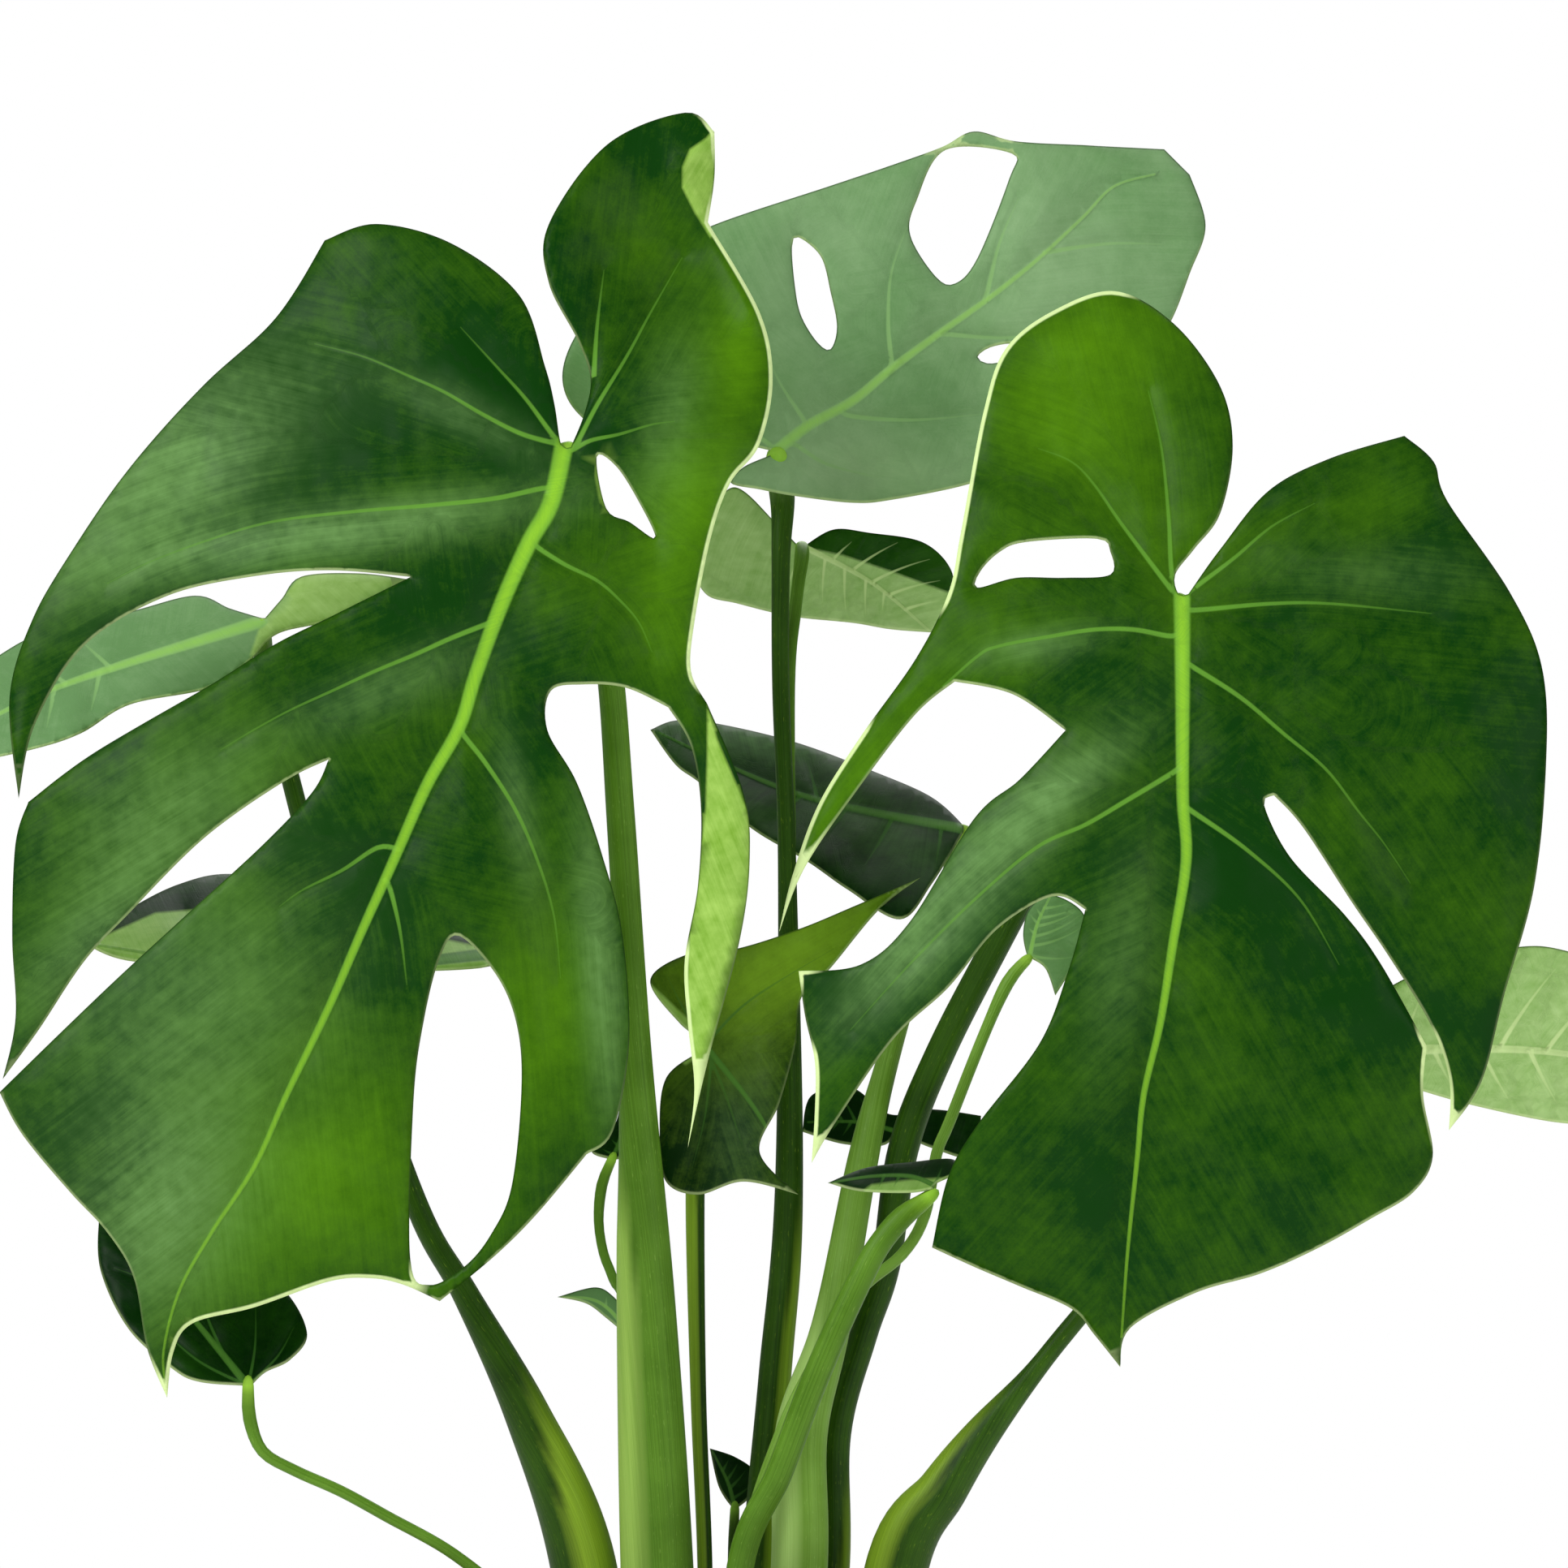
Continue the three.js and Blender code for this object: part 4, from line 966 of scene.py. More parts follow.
# ---- blades ---------------------------------------------------------------------------------
@dataclass
class Blade:
    """One leaf blade: a thin shell with its midrib, veins, quilting, creases and curled margin."""

    leaf: Leaf
    soil_top: float
    thickness: float = 0.8
    step: float = 2.1
    vein_spacing: float = 15
    vein_lean: float = 52

    def __post_init__(self) -> None:
        """Works out the lines that the blade is made from."""
        leaf = self.leaf
        self.length = math.hypot(*leaf.tip)
        if self.length < 80:
            self.step = 1.1 if self.length > 40 else 0.7
        self.loops = [self.closed(leaf.edge)] + [self.ring(hole) for hole in leaf.holes]
        self.rib = spline(np.array(leaf.rib or self.bowed(), float), self.step * 0.6)
        self.rib_width = leaf.rib_width or max(0.9, 0.026 * self.length)
        runs = leaf.veins or self.side_veins()
        self.veins = [self.joined(np.array(vein, float)) for vein in runs]

    def joined(self, vein: np.ndarray) -> np.ndarray:
        """Samples a vein from the midrib on.

        Args:
            vein: The vein's points.

        Returns:
            The samples.
        """
        gaps = np.linalg.norm(self.rib - vein[0], axis=1)
        if 0.5 < gaps.min() < 14:
            vein = np.vstack([self.rib[max(0, int(gaps.argmin()) - 2)], vein])
        return spline(vein, self.step * 0.6)

    def closed(self, curves: tuple) -> np.ndarray:
        """Samples the margin.

        Args:
            curves: Runs of points that meet at the margin's corners.

        Returns:
            The margin as a closed loop.
        """
        start, made = curves[-1][-1], []
        for curve in curves:
            points = np.array((start, *curve), float)
            made.append(spline(points, self.step * 0.7)[1:])
            start = curve[-1]
        return self.thinned(np.vstack(made))

    def ring(self, points: tuple) -> np.ndarray:
        """Samples a hole's margin as a closed loop.

        Args:
            points: Points on the margin.

        Returns:
            The samples.
        """
        looped = np.array(points[-2:] + points + points[:2], float)
        marks = spline(looped, self.step * 0.7)
        first = int(np.argmin(np.linalg.norm(marks - points[0], axis=1)))
        rest = marks[first + 4:]
        last = first + 4 + int(np.argmin(np.linalg.norm(rest - points[0], axis=1)))
        return self.thinned(marks[first:last])

    def thinned(self, loop: np.ndarray) -> np.ndarray:
        """Drops samples that nearly repeat the one before.

        Args:
            loop: The samples of a margin.

        Returns:
            The samples that are kept.
        """
        kept = [loop[0]]
        for place in loop[1:]:
            if np.linalg.norm(place - kept[-1]) > self.step * 0.3:
                kept.append(place)
        if np.linalg.norm(kept[-1] - kept[0]) < self.step * 0.3:
            kept.pop()
        return np.array(kept)

    def bowed(self) -> tuple:
        """Makes a slightly bowed midrib to the tip."""
        across, up = self.leaf.tip
        middle = (across / 2 - up * 0.05, up / 2 + across * 0.05)
        return ((0, 0), middle, (across * 0.97, up * 0.97))

    def side_veins(self) -> list:
        """Makes side veins that leave the midrib in turn on both sides and curve to the tip."""
        veins = []
        spacing = max(3.0, min(self.vein_spacing, self.length / 7))
        reach = np.concatenate([[0], np.cumsum(np.linalg.norm(np.diff(self.rib, axis=0), axis=1))])
        starts = np.arange(0.02 * self.length, 0.9 * self.length, spacing)
        for number, start in enumerate(starts):
            for side in (-1, 1):
                spot = start + (0.3 * spacing if side > 0 else 0)
                index = min(int(np.searchsorted(reach, spot)), len(self.rib) - 2)
                way = self.rib[index + 1] - self.rib[index]
                heading = math.atan2(way[1], way[0]) + side * math.radians(self.vein_lean + 40 / (1 + number))
                place, line = self.rib[index].copy(), [tuple(self.rib[index])]
                for _ in range(16):
                    place = place + spacing * 0.4 * np.array([math.cos(heading), math.sin(heading)])
                    heading -= side * math.radians(2.2)
                    if not inside(place[None, :], self.loops)[0]:
                        break
                    line.append(tuple(place))
                if len(line) > 3:
                    veins.append(line[:-1])
        return veins

    def scatter(self) -> np.ndarray:
        """Spreads points over the blade, with rows along the midrib and the veins.

        Returns:
            The points, the margins' own first.
        """
        margin = np.vstack(self.loops)
        rows = []
        for line, widths in [(self.rib, (0, 0.5, 0.95))] + [(vein, (0, 0.45)) for vein in self.veins]:
            ways = np.gradient(line, axis=0)
            ways /= np.linalg.norm(ways, axis=1)[:, None]
            aside = np.stack([-ways[:, 1], ways[:, 0]], axis=1)
            size = self.rib_size(np.linspace(0, 1, len(line)))[:, None] if line is self.rib else 2.6
            for width in widths:
                rows += [line + aside * size * width, line - aside * size * width] if width else [line]
        for region in self.leaf.turned:
            for start, end in zip(region, region[1:] + region[:1]):
                line = spline(np.array((start, end), float), self.step * 0.5)
                way = (line[-1] - line[0]) / np.linalg.norm(line[-1] - line[0])
                aside = np.array([-way[1], way[0]]) * 0.5
                rows += [line + aside, line - aside]
        rows = np.vstack(rows)
        low, high = margin.min(axis=0), margin.max(axis=0)
        xs = np.arange(low[0], high[0], self.step)
        ys = np.arange(low[1], high[1], self.step * 0.866)
        grid = np.stack(np.meshgrid(xs, ys), axis=-1)
        grid[1::2, :, 0] += self.step / 2
        grid = grid.reshape(-1, 2)
        cell = self.step * 0.62
        taken = np.round(rows / cell).astype(int)
        around = [taken + (i, j) for i in (-1, 0, 1) for j in (-1, 0, 1)]
        keys = np.vstack(around) @ (100003, 1)
        grid = grid[~np.isin(np.round(grid / cell).astype(int) @ (100003, 1), keys)]
        seen, kept = set(), []
        for x, y in rows:
            key = (round(x / (self.step * 0.3)), round(y / (self.step * 0.3)))
            if key not in seen:
                seen.add(key)
                kept.append((x, y))
        filling = np.vstack([np.array(kept), grid])
        filling = filling[inside(filling, self.loops)]
        gap = np.min([segment_distance(filling, loop, True)[0] for loop in self.loops], axis=0)
        return np.vstack([margin, filling[gap > self.step * 0.35]])

    def rib_size(self, share: np.ndarray) -> np.ndarray:
        """Gives the midrib's width along it."""
        return self.rib_width * (1 - share) ** 1.25 + 0.8

    def depth(self, places: np.ndarray) -> np.ndarray:
        """Gives how far back the plain blade lies at places about the stalk's end.

        Args:
            places: Places across and up.

        Returns:
            The depths.
        """
        bend, (across, up) = self.leaf.bend, self.leaf.tip
        along = (places @ np.array([across, up])) / self.length
        aside = (places[:, 0] * up - places[:, 1] * across) / self.length
        depth = bend.along * along + bend.sag * along**2 + bend.lean * places[:, 1]
        depth += bend.fold * np.sqrt(aside**2 + 4) + bend.cup * aside**2
        for lobe_across, lobe_up, reach, distance in bend.pushes:
            away = np.hypot(places[:, 0] - lobe_across, places[:, 1] - lobe_up) / reach
            depth += distance * np.exp(-away**2)
        return depth

    def outward(self, loop: np.ndarray, ways: np.ndarray) -> np.ndarray:
        """Gives how far up the margin faces at each sample, from -1 to 1.

        Args:
            loop: The samples of a margin.
            ways: The margin's direction at each.

        Returns:
            The upward share at each.
        """
        ways = ways / np.maximum(np.linalg.norm(ways, axis=1), 1e-9)[:, None]
        probe = loop + np.stack([-ways[:, 1], ways[:, 0]], axis=1) * self.step * 0.4
        return np.where(inside(probe, self.loops), -ways[:, 0], ways[:, 0])

    def placed(self, flat: np.ndarray, depth: np.ndarray) -> np.ndarray:
        """Puts places across and up at their depths in the plant."""
        x, y, z = self.leaf.stalk[-1][:3]
        return np.stack([x + flat[:, 0], y + depth, z + self.soil_top + flat[:, 1]], axis=1)

    def spots(self, places: np.ndarray, spots: tuple) -> np.ndarray:
        """Adds soft patches (across, up, long reach, short reach, angle, strength): painted sheen and painted
        light.

        Args:
            places: Places across and up.
            spots: The patches.

        Returns:
            The strength at each place, from 0 to 1.
        """
        total = np.zeros(len(places))
        for across, up, long, short, degrees, strength in spots:
            angle = math.radians(degrees)
            away = places - (across, up)
            along = (away @ (math.cos(angle), math.sin(angle))) / long
            aside = (away @ (-math.sin(angle), math.cos(angle))) / short
            total += strength * np.exp(-(along**2) - aside**2)
        return np.clip(total, 0, 1)

    def build(self) -> bpy.types.Object:
        """Makes the blade's mesh, with what its materials read.

        Returns:
            The blade.
        """
        leaf = self.leaf
        flat = self.scatter()
        edges, first = [], 0
        for loop in self.loops:
            count = len(loop)
            edges += [(first + i, first + (i + 1) % count) for i in range(count)]
            first += count
        made = geometry.delaunay_2d_cdt([Vector(place) for place in flat], edges, [], 0, 1e-5)
        flat = np.array([tuple(place) for place in made[0]])
        faces = np.array([tuple(face) for face in made[2]])
        faces = faces[inside(flat[faces].mean(axis=1), self.loops)]
        used = np.unique(faces)
        flat = flat[used]
        faces = np.searchsorted(used, faces)
        corners = flat[faces]
        area = np.cross(corners[:, 1] - corners[:, 0], corners[:, 2] - corners[:, 0])
        faces[area < 0] = faces[area < 0][:, ::-1]

        rib_gap, rib_along = segment_distance(flat, self.rib, False)
        rib_reach = np.linalg.norm(np.diff(self.rib, axis=0), axis=1).sum()
        half = self.rib_size(np.clip(rib_along / rib_reach, 0, 1)) / 2
        vein_gap, vein_size = np.full(len(flat), 1e3), np.ones(len(flat))
        flow_gap, flow_along = np.full(len(flat), 1e3), np.zeros(len(flat))
        for number, vein in enumerate(self.veins):
            reach = np.linalg.norm(np.diff(vein, axis=0), axis=1).sum()
            gap, along = segment_distance(flat, vein, False)
            nearer = gap < vein_gap
            vein_gap[nearer] = gap[nearer]
            vein_size[nearer] = 1 - 0.8 * along[nearer] / reach
            ahead, behind = vein[-1] - vein[-4], vein[0] - vein[3]
            before = vein[0] + behind / np.linalg.norm(behind) * 60
            after = vein[-1] + ahead / np.linalg.norm(ahead) * 150
            longer = np.vstack([before, vein, after])
            gap, along = segment_distance(flat, longer, False)
            nearer = gap < flow_gap
            flow_gap[nearer] = gap[nearer]
            flow_along[nearer] = along[nearer] + 400 * number
        margin_gap = np.min([segment_distance(flat, loop, True)[0] for loop in self.loops], axis=0)
        turned = np.zeros(len(flat))
        for region in leaf.turned:
            ring = np.array(region, float)
            within = inside(flat, [ring])
            away = segment_distance(flat, ring, True)[0]
            turned = np.maximum(turned, np.where(within, 0.5 + away, 0.5 - away).clip(0, 1))

        size = min(1.0, self.length / 120)
        # A pale line on margins that face down: painted edge light, set by which way the margin faces.
        facing_down = np.zeros(len(flat))
        for loop in self.loops:
            ways = np.roll(loop, -1, axis=0) - np.roll(loop, 1, axis=0)
            outward = self.outward(loop, ways)
            close = np.flatnonzero(margin_gap < 2.5)
            gaps = np.linalg.norm(flat[close, None, :] - loop[None, :, :], axis=2)
            beside = gaps.min(axis=1) < 4
            facing_down[close[beside]] = np.clip(-outward[gaps.argmin(axis=1)[beside]], 0, 1)
        edge_pale = 0.5 * facing_down
        for line in leaf.pale_edges:
            gap = segment_distance(flat, spline(np.array(line, float), 3), False)[0]
            edge_pale = np.maximum(edge_pale, np.clip(1.6 - gap / 5, 0, 1))
        nearest = np.minimum(vein_gap, np.maximum(rib_gap - half, 0))
        quilt = 1 - np.exp(-nearest / (9 * size))
        relief = -3.2 * size * quilt
        relief += 1.8 * size * ripples(flat, 85 * size, 3) + 0.5 * size * ripples(flat, 26 * size, 5)
        relief += 2.2 * size * np.exp(-margin_gap / (5 * size)) * (1 + 0.6 * ripples(flat, 60 * size, 9))
        for crease in leaf.creases:
            gap = segment_distance(flat, spline(np.array(crease.line, float), 3), False)[0]
            relief -= crease.depth * np.exp(-np.abs(gap) / crease.width)
        fade = 1 - np.exp(-np.hypot(flat[:, 0], flat[:, 1]) / 8)
        middle = self.depth(flat) - self.depth(np.zeros((1, 2)))[0] + relief * fade
        bump_up = np.sqrt(np.clip(1 - (rib_gap / np.maximum(half, 0.3))**2, 0, 1))
        vein_up = np.clip(1 - vein_gap / 0.9, 0, 1) * size
        upper = 0.55 * size * bump_up - 0.25 * vein_up + self.thickness / 2
        lower = half * 1.1 * bump_up + 0.5 * vein_up + self.thickness / 2
        thin = np.clip(margin_gap / 1.2, 0.35, 1)
        front, back = (lower, upper) if leaf.under_front else (upper, lower)
        faces_at = (middle - front * thin, middle + back * thin)
        places = np.vstack([self.placed(flat, depth) for depth in faces_at])
        count = len(flat)
        sides = np.sort(np.vstack([faces[:, [0, 1]], faces[:, [1, 2]], faces[:, [2, 0]]]), axis=1)
        ways = np.vstack([faces[:, [0, 1]], faces[:, [1, 2]], faces[:, [2, 0]]])
        _, index, times = np.unique(sides, axis=0, return_index=True, return_counts=True)
        rim = ways[index[times == 1]]
        walls = [(b, a, a + count, b + count) for a, b in rim.tolist()]
        all_faces = faces.tolist() + (faces[:, ::-1] + count).tolist() + walls
        shown, hidden = (1, 0) if leaf.under_front else (0, 1)
        slots = np.array([shown] * len(faces) + [hidden] * len(faces) + [0] * len(walls))
        blade = mesh_piece(leaf.name + "_blade", places, all_faces, slots)
        paint(blade, "vein_gap", twice(vein_gap / (max(0.5, size * 0.75) * vein_size)))
        paint(blade, "rib_gap", twice(rib_gap / np.maximum(half, 0.3)))
        paint(blade, "rib_show", twice(1 - 0.55 * (rib_along / rib_reach) ** 1.5))
        paint(blade, "edge_gap", twice(margin_gap))
        paint(blade, "edge_pale", twice(edge_pale))
        paint(blade, "turned", twice(turned))
        paint(blade, "vein_show", twice(np.clip(vein_size * 1.15, 0, 1)))
        # The painted sheen patches, then the painted light patches.
        paint(blade, "bloom", twice(self.spots(flat, leaf.bloom)))
        # Painted light patches, which lighten the upper face's tone.
        paint(blade, "glow", twice(self.spots(flat, leaf.glow)))
        flow = np.stack([flow_gap, flow_along, np.zeros(count)], axis=1)
        paint(blade, "flow", np.vstack([flow, flow]))
        return blade


# ---- stalks ---------------------------------------------------------------------------------
@dataclass
class Stalk:
    """One stalk: a tapering, slightly grooved stem with the sheath at its foot."""

    leaf: Leaf
    soil_top: float
    sides: int = 22
    step: float = 3

    def build(self) -> bpy.types.Object:
        """Makes the stalk's mesh, with what its material reads.

        Returns:
            The stalk.
        """
        leaf = self.leaf
        marks = np.array(leaf.stalk, float)
        marks[0, 2] = -6
        line = spline(marks, self.step)
        last = (marks[-1] - marks[-2])[:3]
        cut = 0.8 * marks[-1, 3] * abs(last[1]) / np.linalg.norm(last)
        gone = np.linalg.norm(line[:, :3] - line[-1, :3], axis=1) > cut - 1e-6
        line = line[: int(np.flatnonzero(gone)[-1]) + 1]
        path, radius = line[:, :3], line[:, 3]
        ways = np.gradient(path, axis=0)
        ways /= np.linalg.norm(ways, axis=1)[:, None]
        reach = np.concatenate([[0], np.cumsum(np.linalg.norm(np.diff(path, axis=0), axis=1))])
        front = np.array([0.0, -1.0, 0.0])
        turn = np.linspace(0, 2 * math.pi, self.sides, endpoint=False)
        sheath = leaf.sheath
        rows, covers, crease_shades, grain = [], [], [], []
        knee = 1 + 0.16 * np.exp(-(((reach[-1] - reach - 9) / 8) ** 2))
        for spot, way, size, far in zip(path, ways, radius * knee, reach):
            front = front - way * (front @ way)
            front /= np.linalg.norm(front)
            right = np.cross(way, front)
            across, forward = np.cos(turn), np.sin(turn)
            shape = np.ones(self.sides)
            cover, crease = np.zeros(self.sides), np.zeros(self.sides)
            if sheath:
                grown = float(np.clip((sheath.top - spot[2]) / 26, 0, 1))
                side = across * sheath.side
                widening = 0.35 + 0.65 * float(np.clip((sheath.top - spot[2]) / 45, 0, 1))
                line_at = 1 - 2 * sheath.share * widening
                cover = np.clip((side - line_at) / 0.12 + 0.5, 0, 1) * grown
                crease = np.exp(-(((side - line_at) / 0.16) ** 2)) * grown
                shape = shape - 0.13 * crease + 0.05 * cover
            shape = shape - 0.10 * np.exp(-(((turn - 1.5 * math.pi) / 0.4) ** 2))
            ring = spot + size * shape[:, None] * (across[:, None] * right + 0.9 * forward[:, None] * front)
            rows.append(ring)
            covers.append(cover)
            crease_shades.append(crease)
            around = turn * max(size, 2)
            grain.append(np.stack([around, np.full(self.sides, far), np.zeros(self.sides)], axis=1))
        reached = radius[-1] * (2 - 1.5 * abs(ways[-1][1]))
        for share, far in ((0.82, 0.5), (0.5, 0.85)):
            rows.append(path[-1] + ways[-1] * reached * far + (ring - spot) * share)
            covers.append(cover)
            crease_shades.append(crease)
            grain.append(grain[-1])
            reach = np.append(reach, reach[-1])
        rows.append((path[-1] + ways[-1] * reached)[None, :])
        rows.append(path[:1])
        places = np.vstack(rows)
        places[:, 2] += self.soil_top
        count, n = len(path) + 2, self.sides
        faces = [(r * n + i, r * n + (i + 1) % n, (r + 1) * n + (i + 1) % n, (r + 1) * n + i)
                 for r in range(count - 1) for i in range(n)]
        end, start = count * n, count * n + 1
        faces += [((count - 1) * n + i, (count - 1) * n + (i + 1) % n, end) for i in range(n)]
        faces += [((i + 1) % n, i, start) for i in range(n)]
        stalk = mesh_piece(leaf.name + "_stalk", places, faces)
        paint(stalk, "sheath", np.concatenate([*covers, [0, 0]]))
        # The crease along the sheath's edge, where a dark line of painted shade goes.
        paint(stalk, "seam", np.concatenate([*crease_shades, [0, 0]]))
        knee_tint = np.exp(-(reach[-1] - reach) / max(2.5, radius[-1] * 1.6))
        paint(stalk, "knee", np.concatenate([np.repeat(knee_tint, self.sides), [1, 0]]))
        paint(stalk, "grain", np.vstack([np.vstack(grain), np.zeros((2, 3))]))
        only(stalk)
        bpy.ops.object.mode_set(mode="EDIT")
        bpy.ops.mesh.select_all(action="SELECT")
        bpy.ops.mesh.normals_make_consistent(inside=False)
        bpy.ops.object.mode_set(mode="OBJECT")
        return stalk


# ---- basket ---------------------------------------------------------------------------------
@dataclass
class Basket:
    """The woven basket: stakes, weavers in over-and-under rows, a roped rim and a woven floor."""

    low: Vector
    high: Vector
    stakes: int = 32
    rows: int = 30
    weave: float = 2.0
    floor_weave: float = 1.1
    strand: float = 2.5
    stake_radius: float = 2.1
    wall: float = 8
    floor: float = 8
    taper: float = 22

    def __post_init__(self) -> None:
        """Takes the basket's sizes from its place in the frame."""
        self.height = (self.high.z - self.low.z) / MM
        self.rim_radius = (self.high.x - self.low.x) / 2 / MM - 3.5
        self.base_radius = self.rim_radius - self.taper

    def middle(self, height: float) -> float:
        """Gives the radius of the wall's middle at a height."""
        return self.base_radius + (self.rim_radius - self.base_radius) * height / self.height - self.wall / 2

    def ring(self, radius: float, height: float, thick: float, segments: int, sides: int) -> bpy.types.Object:
        """Adds one round strand.

        Args:
            radius: The ring's radius.
            height: Its height.
            thick: The strand's radius.
            segments: Segments round the ring.
            sides: Sides of the strand.

        Returns:
            The ring, in metres, with its place in its mesh.
        """
        bpy.ops.object.select_all(action="DESELECT")
        bpy.ops.mesh.primitive_torus_add(
            major_radius=radius * MM,
            minor_radius=thick * MM,
            major_segments=segments,
            minor_segments=sides,
            location=(0, 0, height * MM),
            generate_uvs=False,
        )
        ring = bpy.context.active_object
        bpy.ops.object.transform_apply(location=True, rotation=True, scale=True)
        return ring

    def woven(
        self, ring: bpy.types.Object, radius: float, height: float, phase: float, upright: bool
    ) -> None:
        """Waves a ring in and out between the stakes and stores what its material reads.

        Args:
            ring: The plain ring.
            radius: The ring's radius.
            height: Its height.
            phase: Which side of the stakes it starts on.
            upright: Whether it belongs to the wall, not the floor.
        """
        mesh = ring.data
        places = np.empty(len(mesh.vertices) * 3)
        mesh.vertices.foreach_get("co", places)
        places = places.reshape(-1, 3) / MM
        angle = np.arctan2(places[:, 1], places[:, 0])
        out = np.hypot(places[:, 0], places[:, 1]) - radius
        rise = places[:, 2] - height
        swing = self.weave if upright else self.floor_weave
        wave = swing * np.cos(self.stakes / 2 * angle + phase)
        far = radius + out + (wave if upright else 0)
        jitter = 0.35 * np.sin(5 * angle + 2.1 * phase + height)
        places[:, 0], places[:, 1] = far * np.cos(angle), far * np.sin(angle)
        places[:, 2] = height + rise * 1.12 + (jitter if upright else wave + jitter)
        mesh.vertices.foreach_set("co", (places * MM).ravel())
        around = np.arctan2(rise, out) * self.strand
        paint(ring, "grain", np.stack([around, angle * radius, np.full(len(angle), height * 7.3)], axis=1))

    def joined(self, name: str, pieces: list) -> bpy.types.Object:
        """Joins copies into one piece.

        Args:
            name: The joined piece's name.
            pieces: The copies.

        Returns:
            The joined piece.
        """
        bpy.ops.object.select_all(action="DESELECT")
        for piece in pieces:
            piece.select_set(True)
        bpy.context.view_layer.objects.active = pieces[0]
        if len(pieces) > 1:
            bpy.ops.object.join()
        whole = bpy.context.active_object
        whole.name = whole.data.name = name
        bpy.ops.object.shade_smooth()
        return whole

    def weavers(self) -> bpy.types.Object:
        """Makes the rows of the wall."""
        made = []
        top = self.height - 12
        for row in range(self.rows):
            height = self.strand * 1.42 + (top - self.strand * 1.42) * row / (self.rows - 1)
            radius = self.middle(height)
            ring = self.ring(radius, height, self.strand * 1.12, self.stakes * 5, 7)
            self.woven(ring, radius, height, math.pi * (row % 2), True)
            made.append(ring)
        return self.joined("basket_weavers", made)

    def uprights(self) -> bpy.types.Object:
        """Makes the stakes that the rows go round."""
        made = []
        for number in range(self.stakes):
            angle = (number + 0.5) * 2 * math.pi / self.stakes
            levels = np.linspace(3, self.height - 7, 30)
            radius = self.middle(levels)
            path = np.stack([radius * math.cos(angle), radius * math.sin(angle), levels], axis=1)
            made.append(self.rod(f"stake_{number}", path, self.stake_radius, number))
        return self.joined("basket_stakes", made)

    def rod(self, name: str, path: np.ndarray, thick: float, seed: int, sides: int = 7) -> bpy.types.Object:
        """Makes a round strand along a path, with closed ends.

        Args:
            name: The strand's name.
            path: The points it runs through.
            thick: Its radius.
            seed: What tells its grain from the others.
            sides: Its sides.

        Returns:
            The strand.
        """
        ways = np.gradient(path, axis=0)
        ways /= np.linalg.norm(ways, axis=1)[:, None]
        turn = np.linspace(0, 2 * math.pi, sides, endpoint=False)
        reach = np.concatenate([[0], np.cumsum(np.linalg.norm(np.diff(path, axis=0), axis=1))])
        first = np.cross(ways[0], (0.31, 0.52, 0.79))
        rows, grain = [], []
        for spot, way, far in zip(path, ways, reach):
            first = first - way * (first @ way)
            first /= np.linalg.norm(first)
            second = np.cross(way, first)
            rows.append(spot + thick * (np.cos(turn)[:, None] * first + np.sin(turn)[:, None] * second))
            grain.append(np.stack([turn * thick, np.full(sides, far), np.full(sides, seed * 11.7)], axis=1))
        count = len(path)
        faces = [(r * sides + i, r * sides + (i + 1) % sides,
                  (r + 1) * sides + (i + 1) % sides, (r + 1) * sides + i)
                 for r in range(count - 1) for i in range(sides)]
        faces += [tuple(reversed(range(sides))), tuple(range((count - 1) * sides, count * sides))]
        piece = mesh_piece(name, np.vstack(rows), faces)
        paint(piece, "grain", np.vstack(grain))
        return piece

    def twisted(
        self,
        name: str,
        radius: float,
        height: float,
        core: float,
        thick: float,
        strands: int,
        turns: int,
    ) -> bpy.types.Object:
        """Makes a rope of strands twisted round a ring.

        Args:
            name: The rope's name.
            radius: The ring's radius.
            height: Its height.
            core: How far a strand's middle lies from the rope's.
            thick: A strand's radius.
            strands: How many strands there are.
            turns: How often a strand goes round the rope.

        Returns:
            The rope.
        """
        made = []
        angle = np.linspace(0, 2 * math.pi, 481)
        for strand in range(strands):
            spin = turns * angle + strand * 2 * math.pi / strands
            far = radius + core * np.cos(spin)
            path = np.stack([far * np.cos(angle), far * np.sin(angle), height + core * np.sin(spin)], axis=1)
            made.append(self.rod(f"{name}_{strand}", path, thick, strand + 3, 8))
        return self.joined(name, made)

    def bottom(self) -> bpy.types.Object:
        """Makes the floor: rings woven over and under spokes."""
        made = []
        level = self.floor / 2
        outer = self.base_radius - self.wall + 1
        count = int(outer / (self.strand * 2.1))
        for row in range(1, count + 1):
            radius = outer * row / count
            ring = self.ring(radius, level, self.strand * 0.9, max(24, int(radius * 1.6)), 6)
            self.woven(ring, radius, level, math.pi * (row % 2), False)
            made.append(ring)
        for number in range(self.stakes // 2):
            angle = (number + 0.5) * 2 * math.pi / self.stakes
            way = np.array([math.cos(angle), math.sin(angle), 0])
            path = np.linspace(-outer, outer, 40)[:, None] * way + np.array([0, 0, level])
            made.append(self.rod(f"spoke_{number}", path, 1.2, number + 40))
        return self.joined("basket_floor", made)

    def build(self, wicker: bpy.types.Material) -> None:
        """Makes and dresses the basket's pieces.

        Args:
            wicker: The basket's material.
        """
        rim = self.middle(self.height - 7) + 0.5
        pieces = [
            self.weavers(),
            self.uprights(),
            self.twisted("basket_rim", rim, self.height - 7.6, 3.6, 3.5, 3, 34),
            self.twisted("basket_foot", self.middle(4) + 0.3, 5.2, 2.3, 2.4, 2, 40),
            self.bottom(),
        ]
        for piece in pieces:
            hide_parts("basket")
            dress(piece, "wicker", wicker)


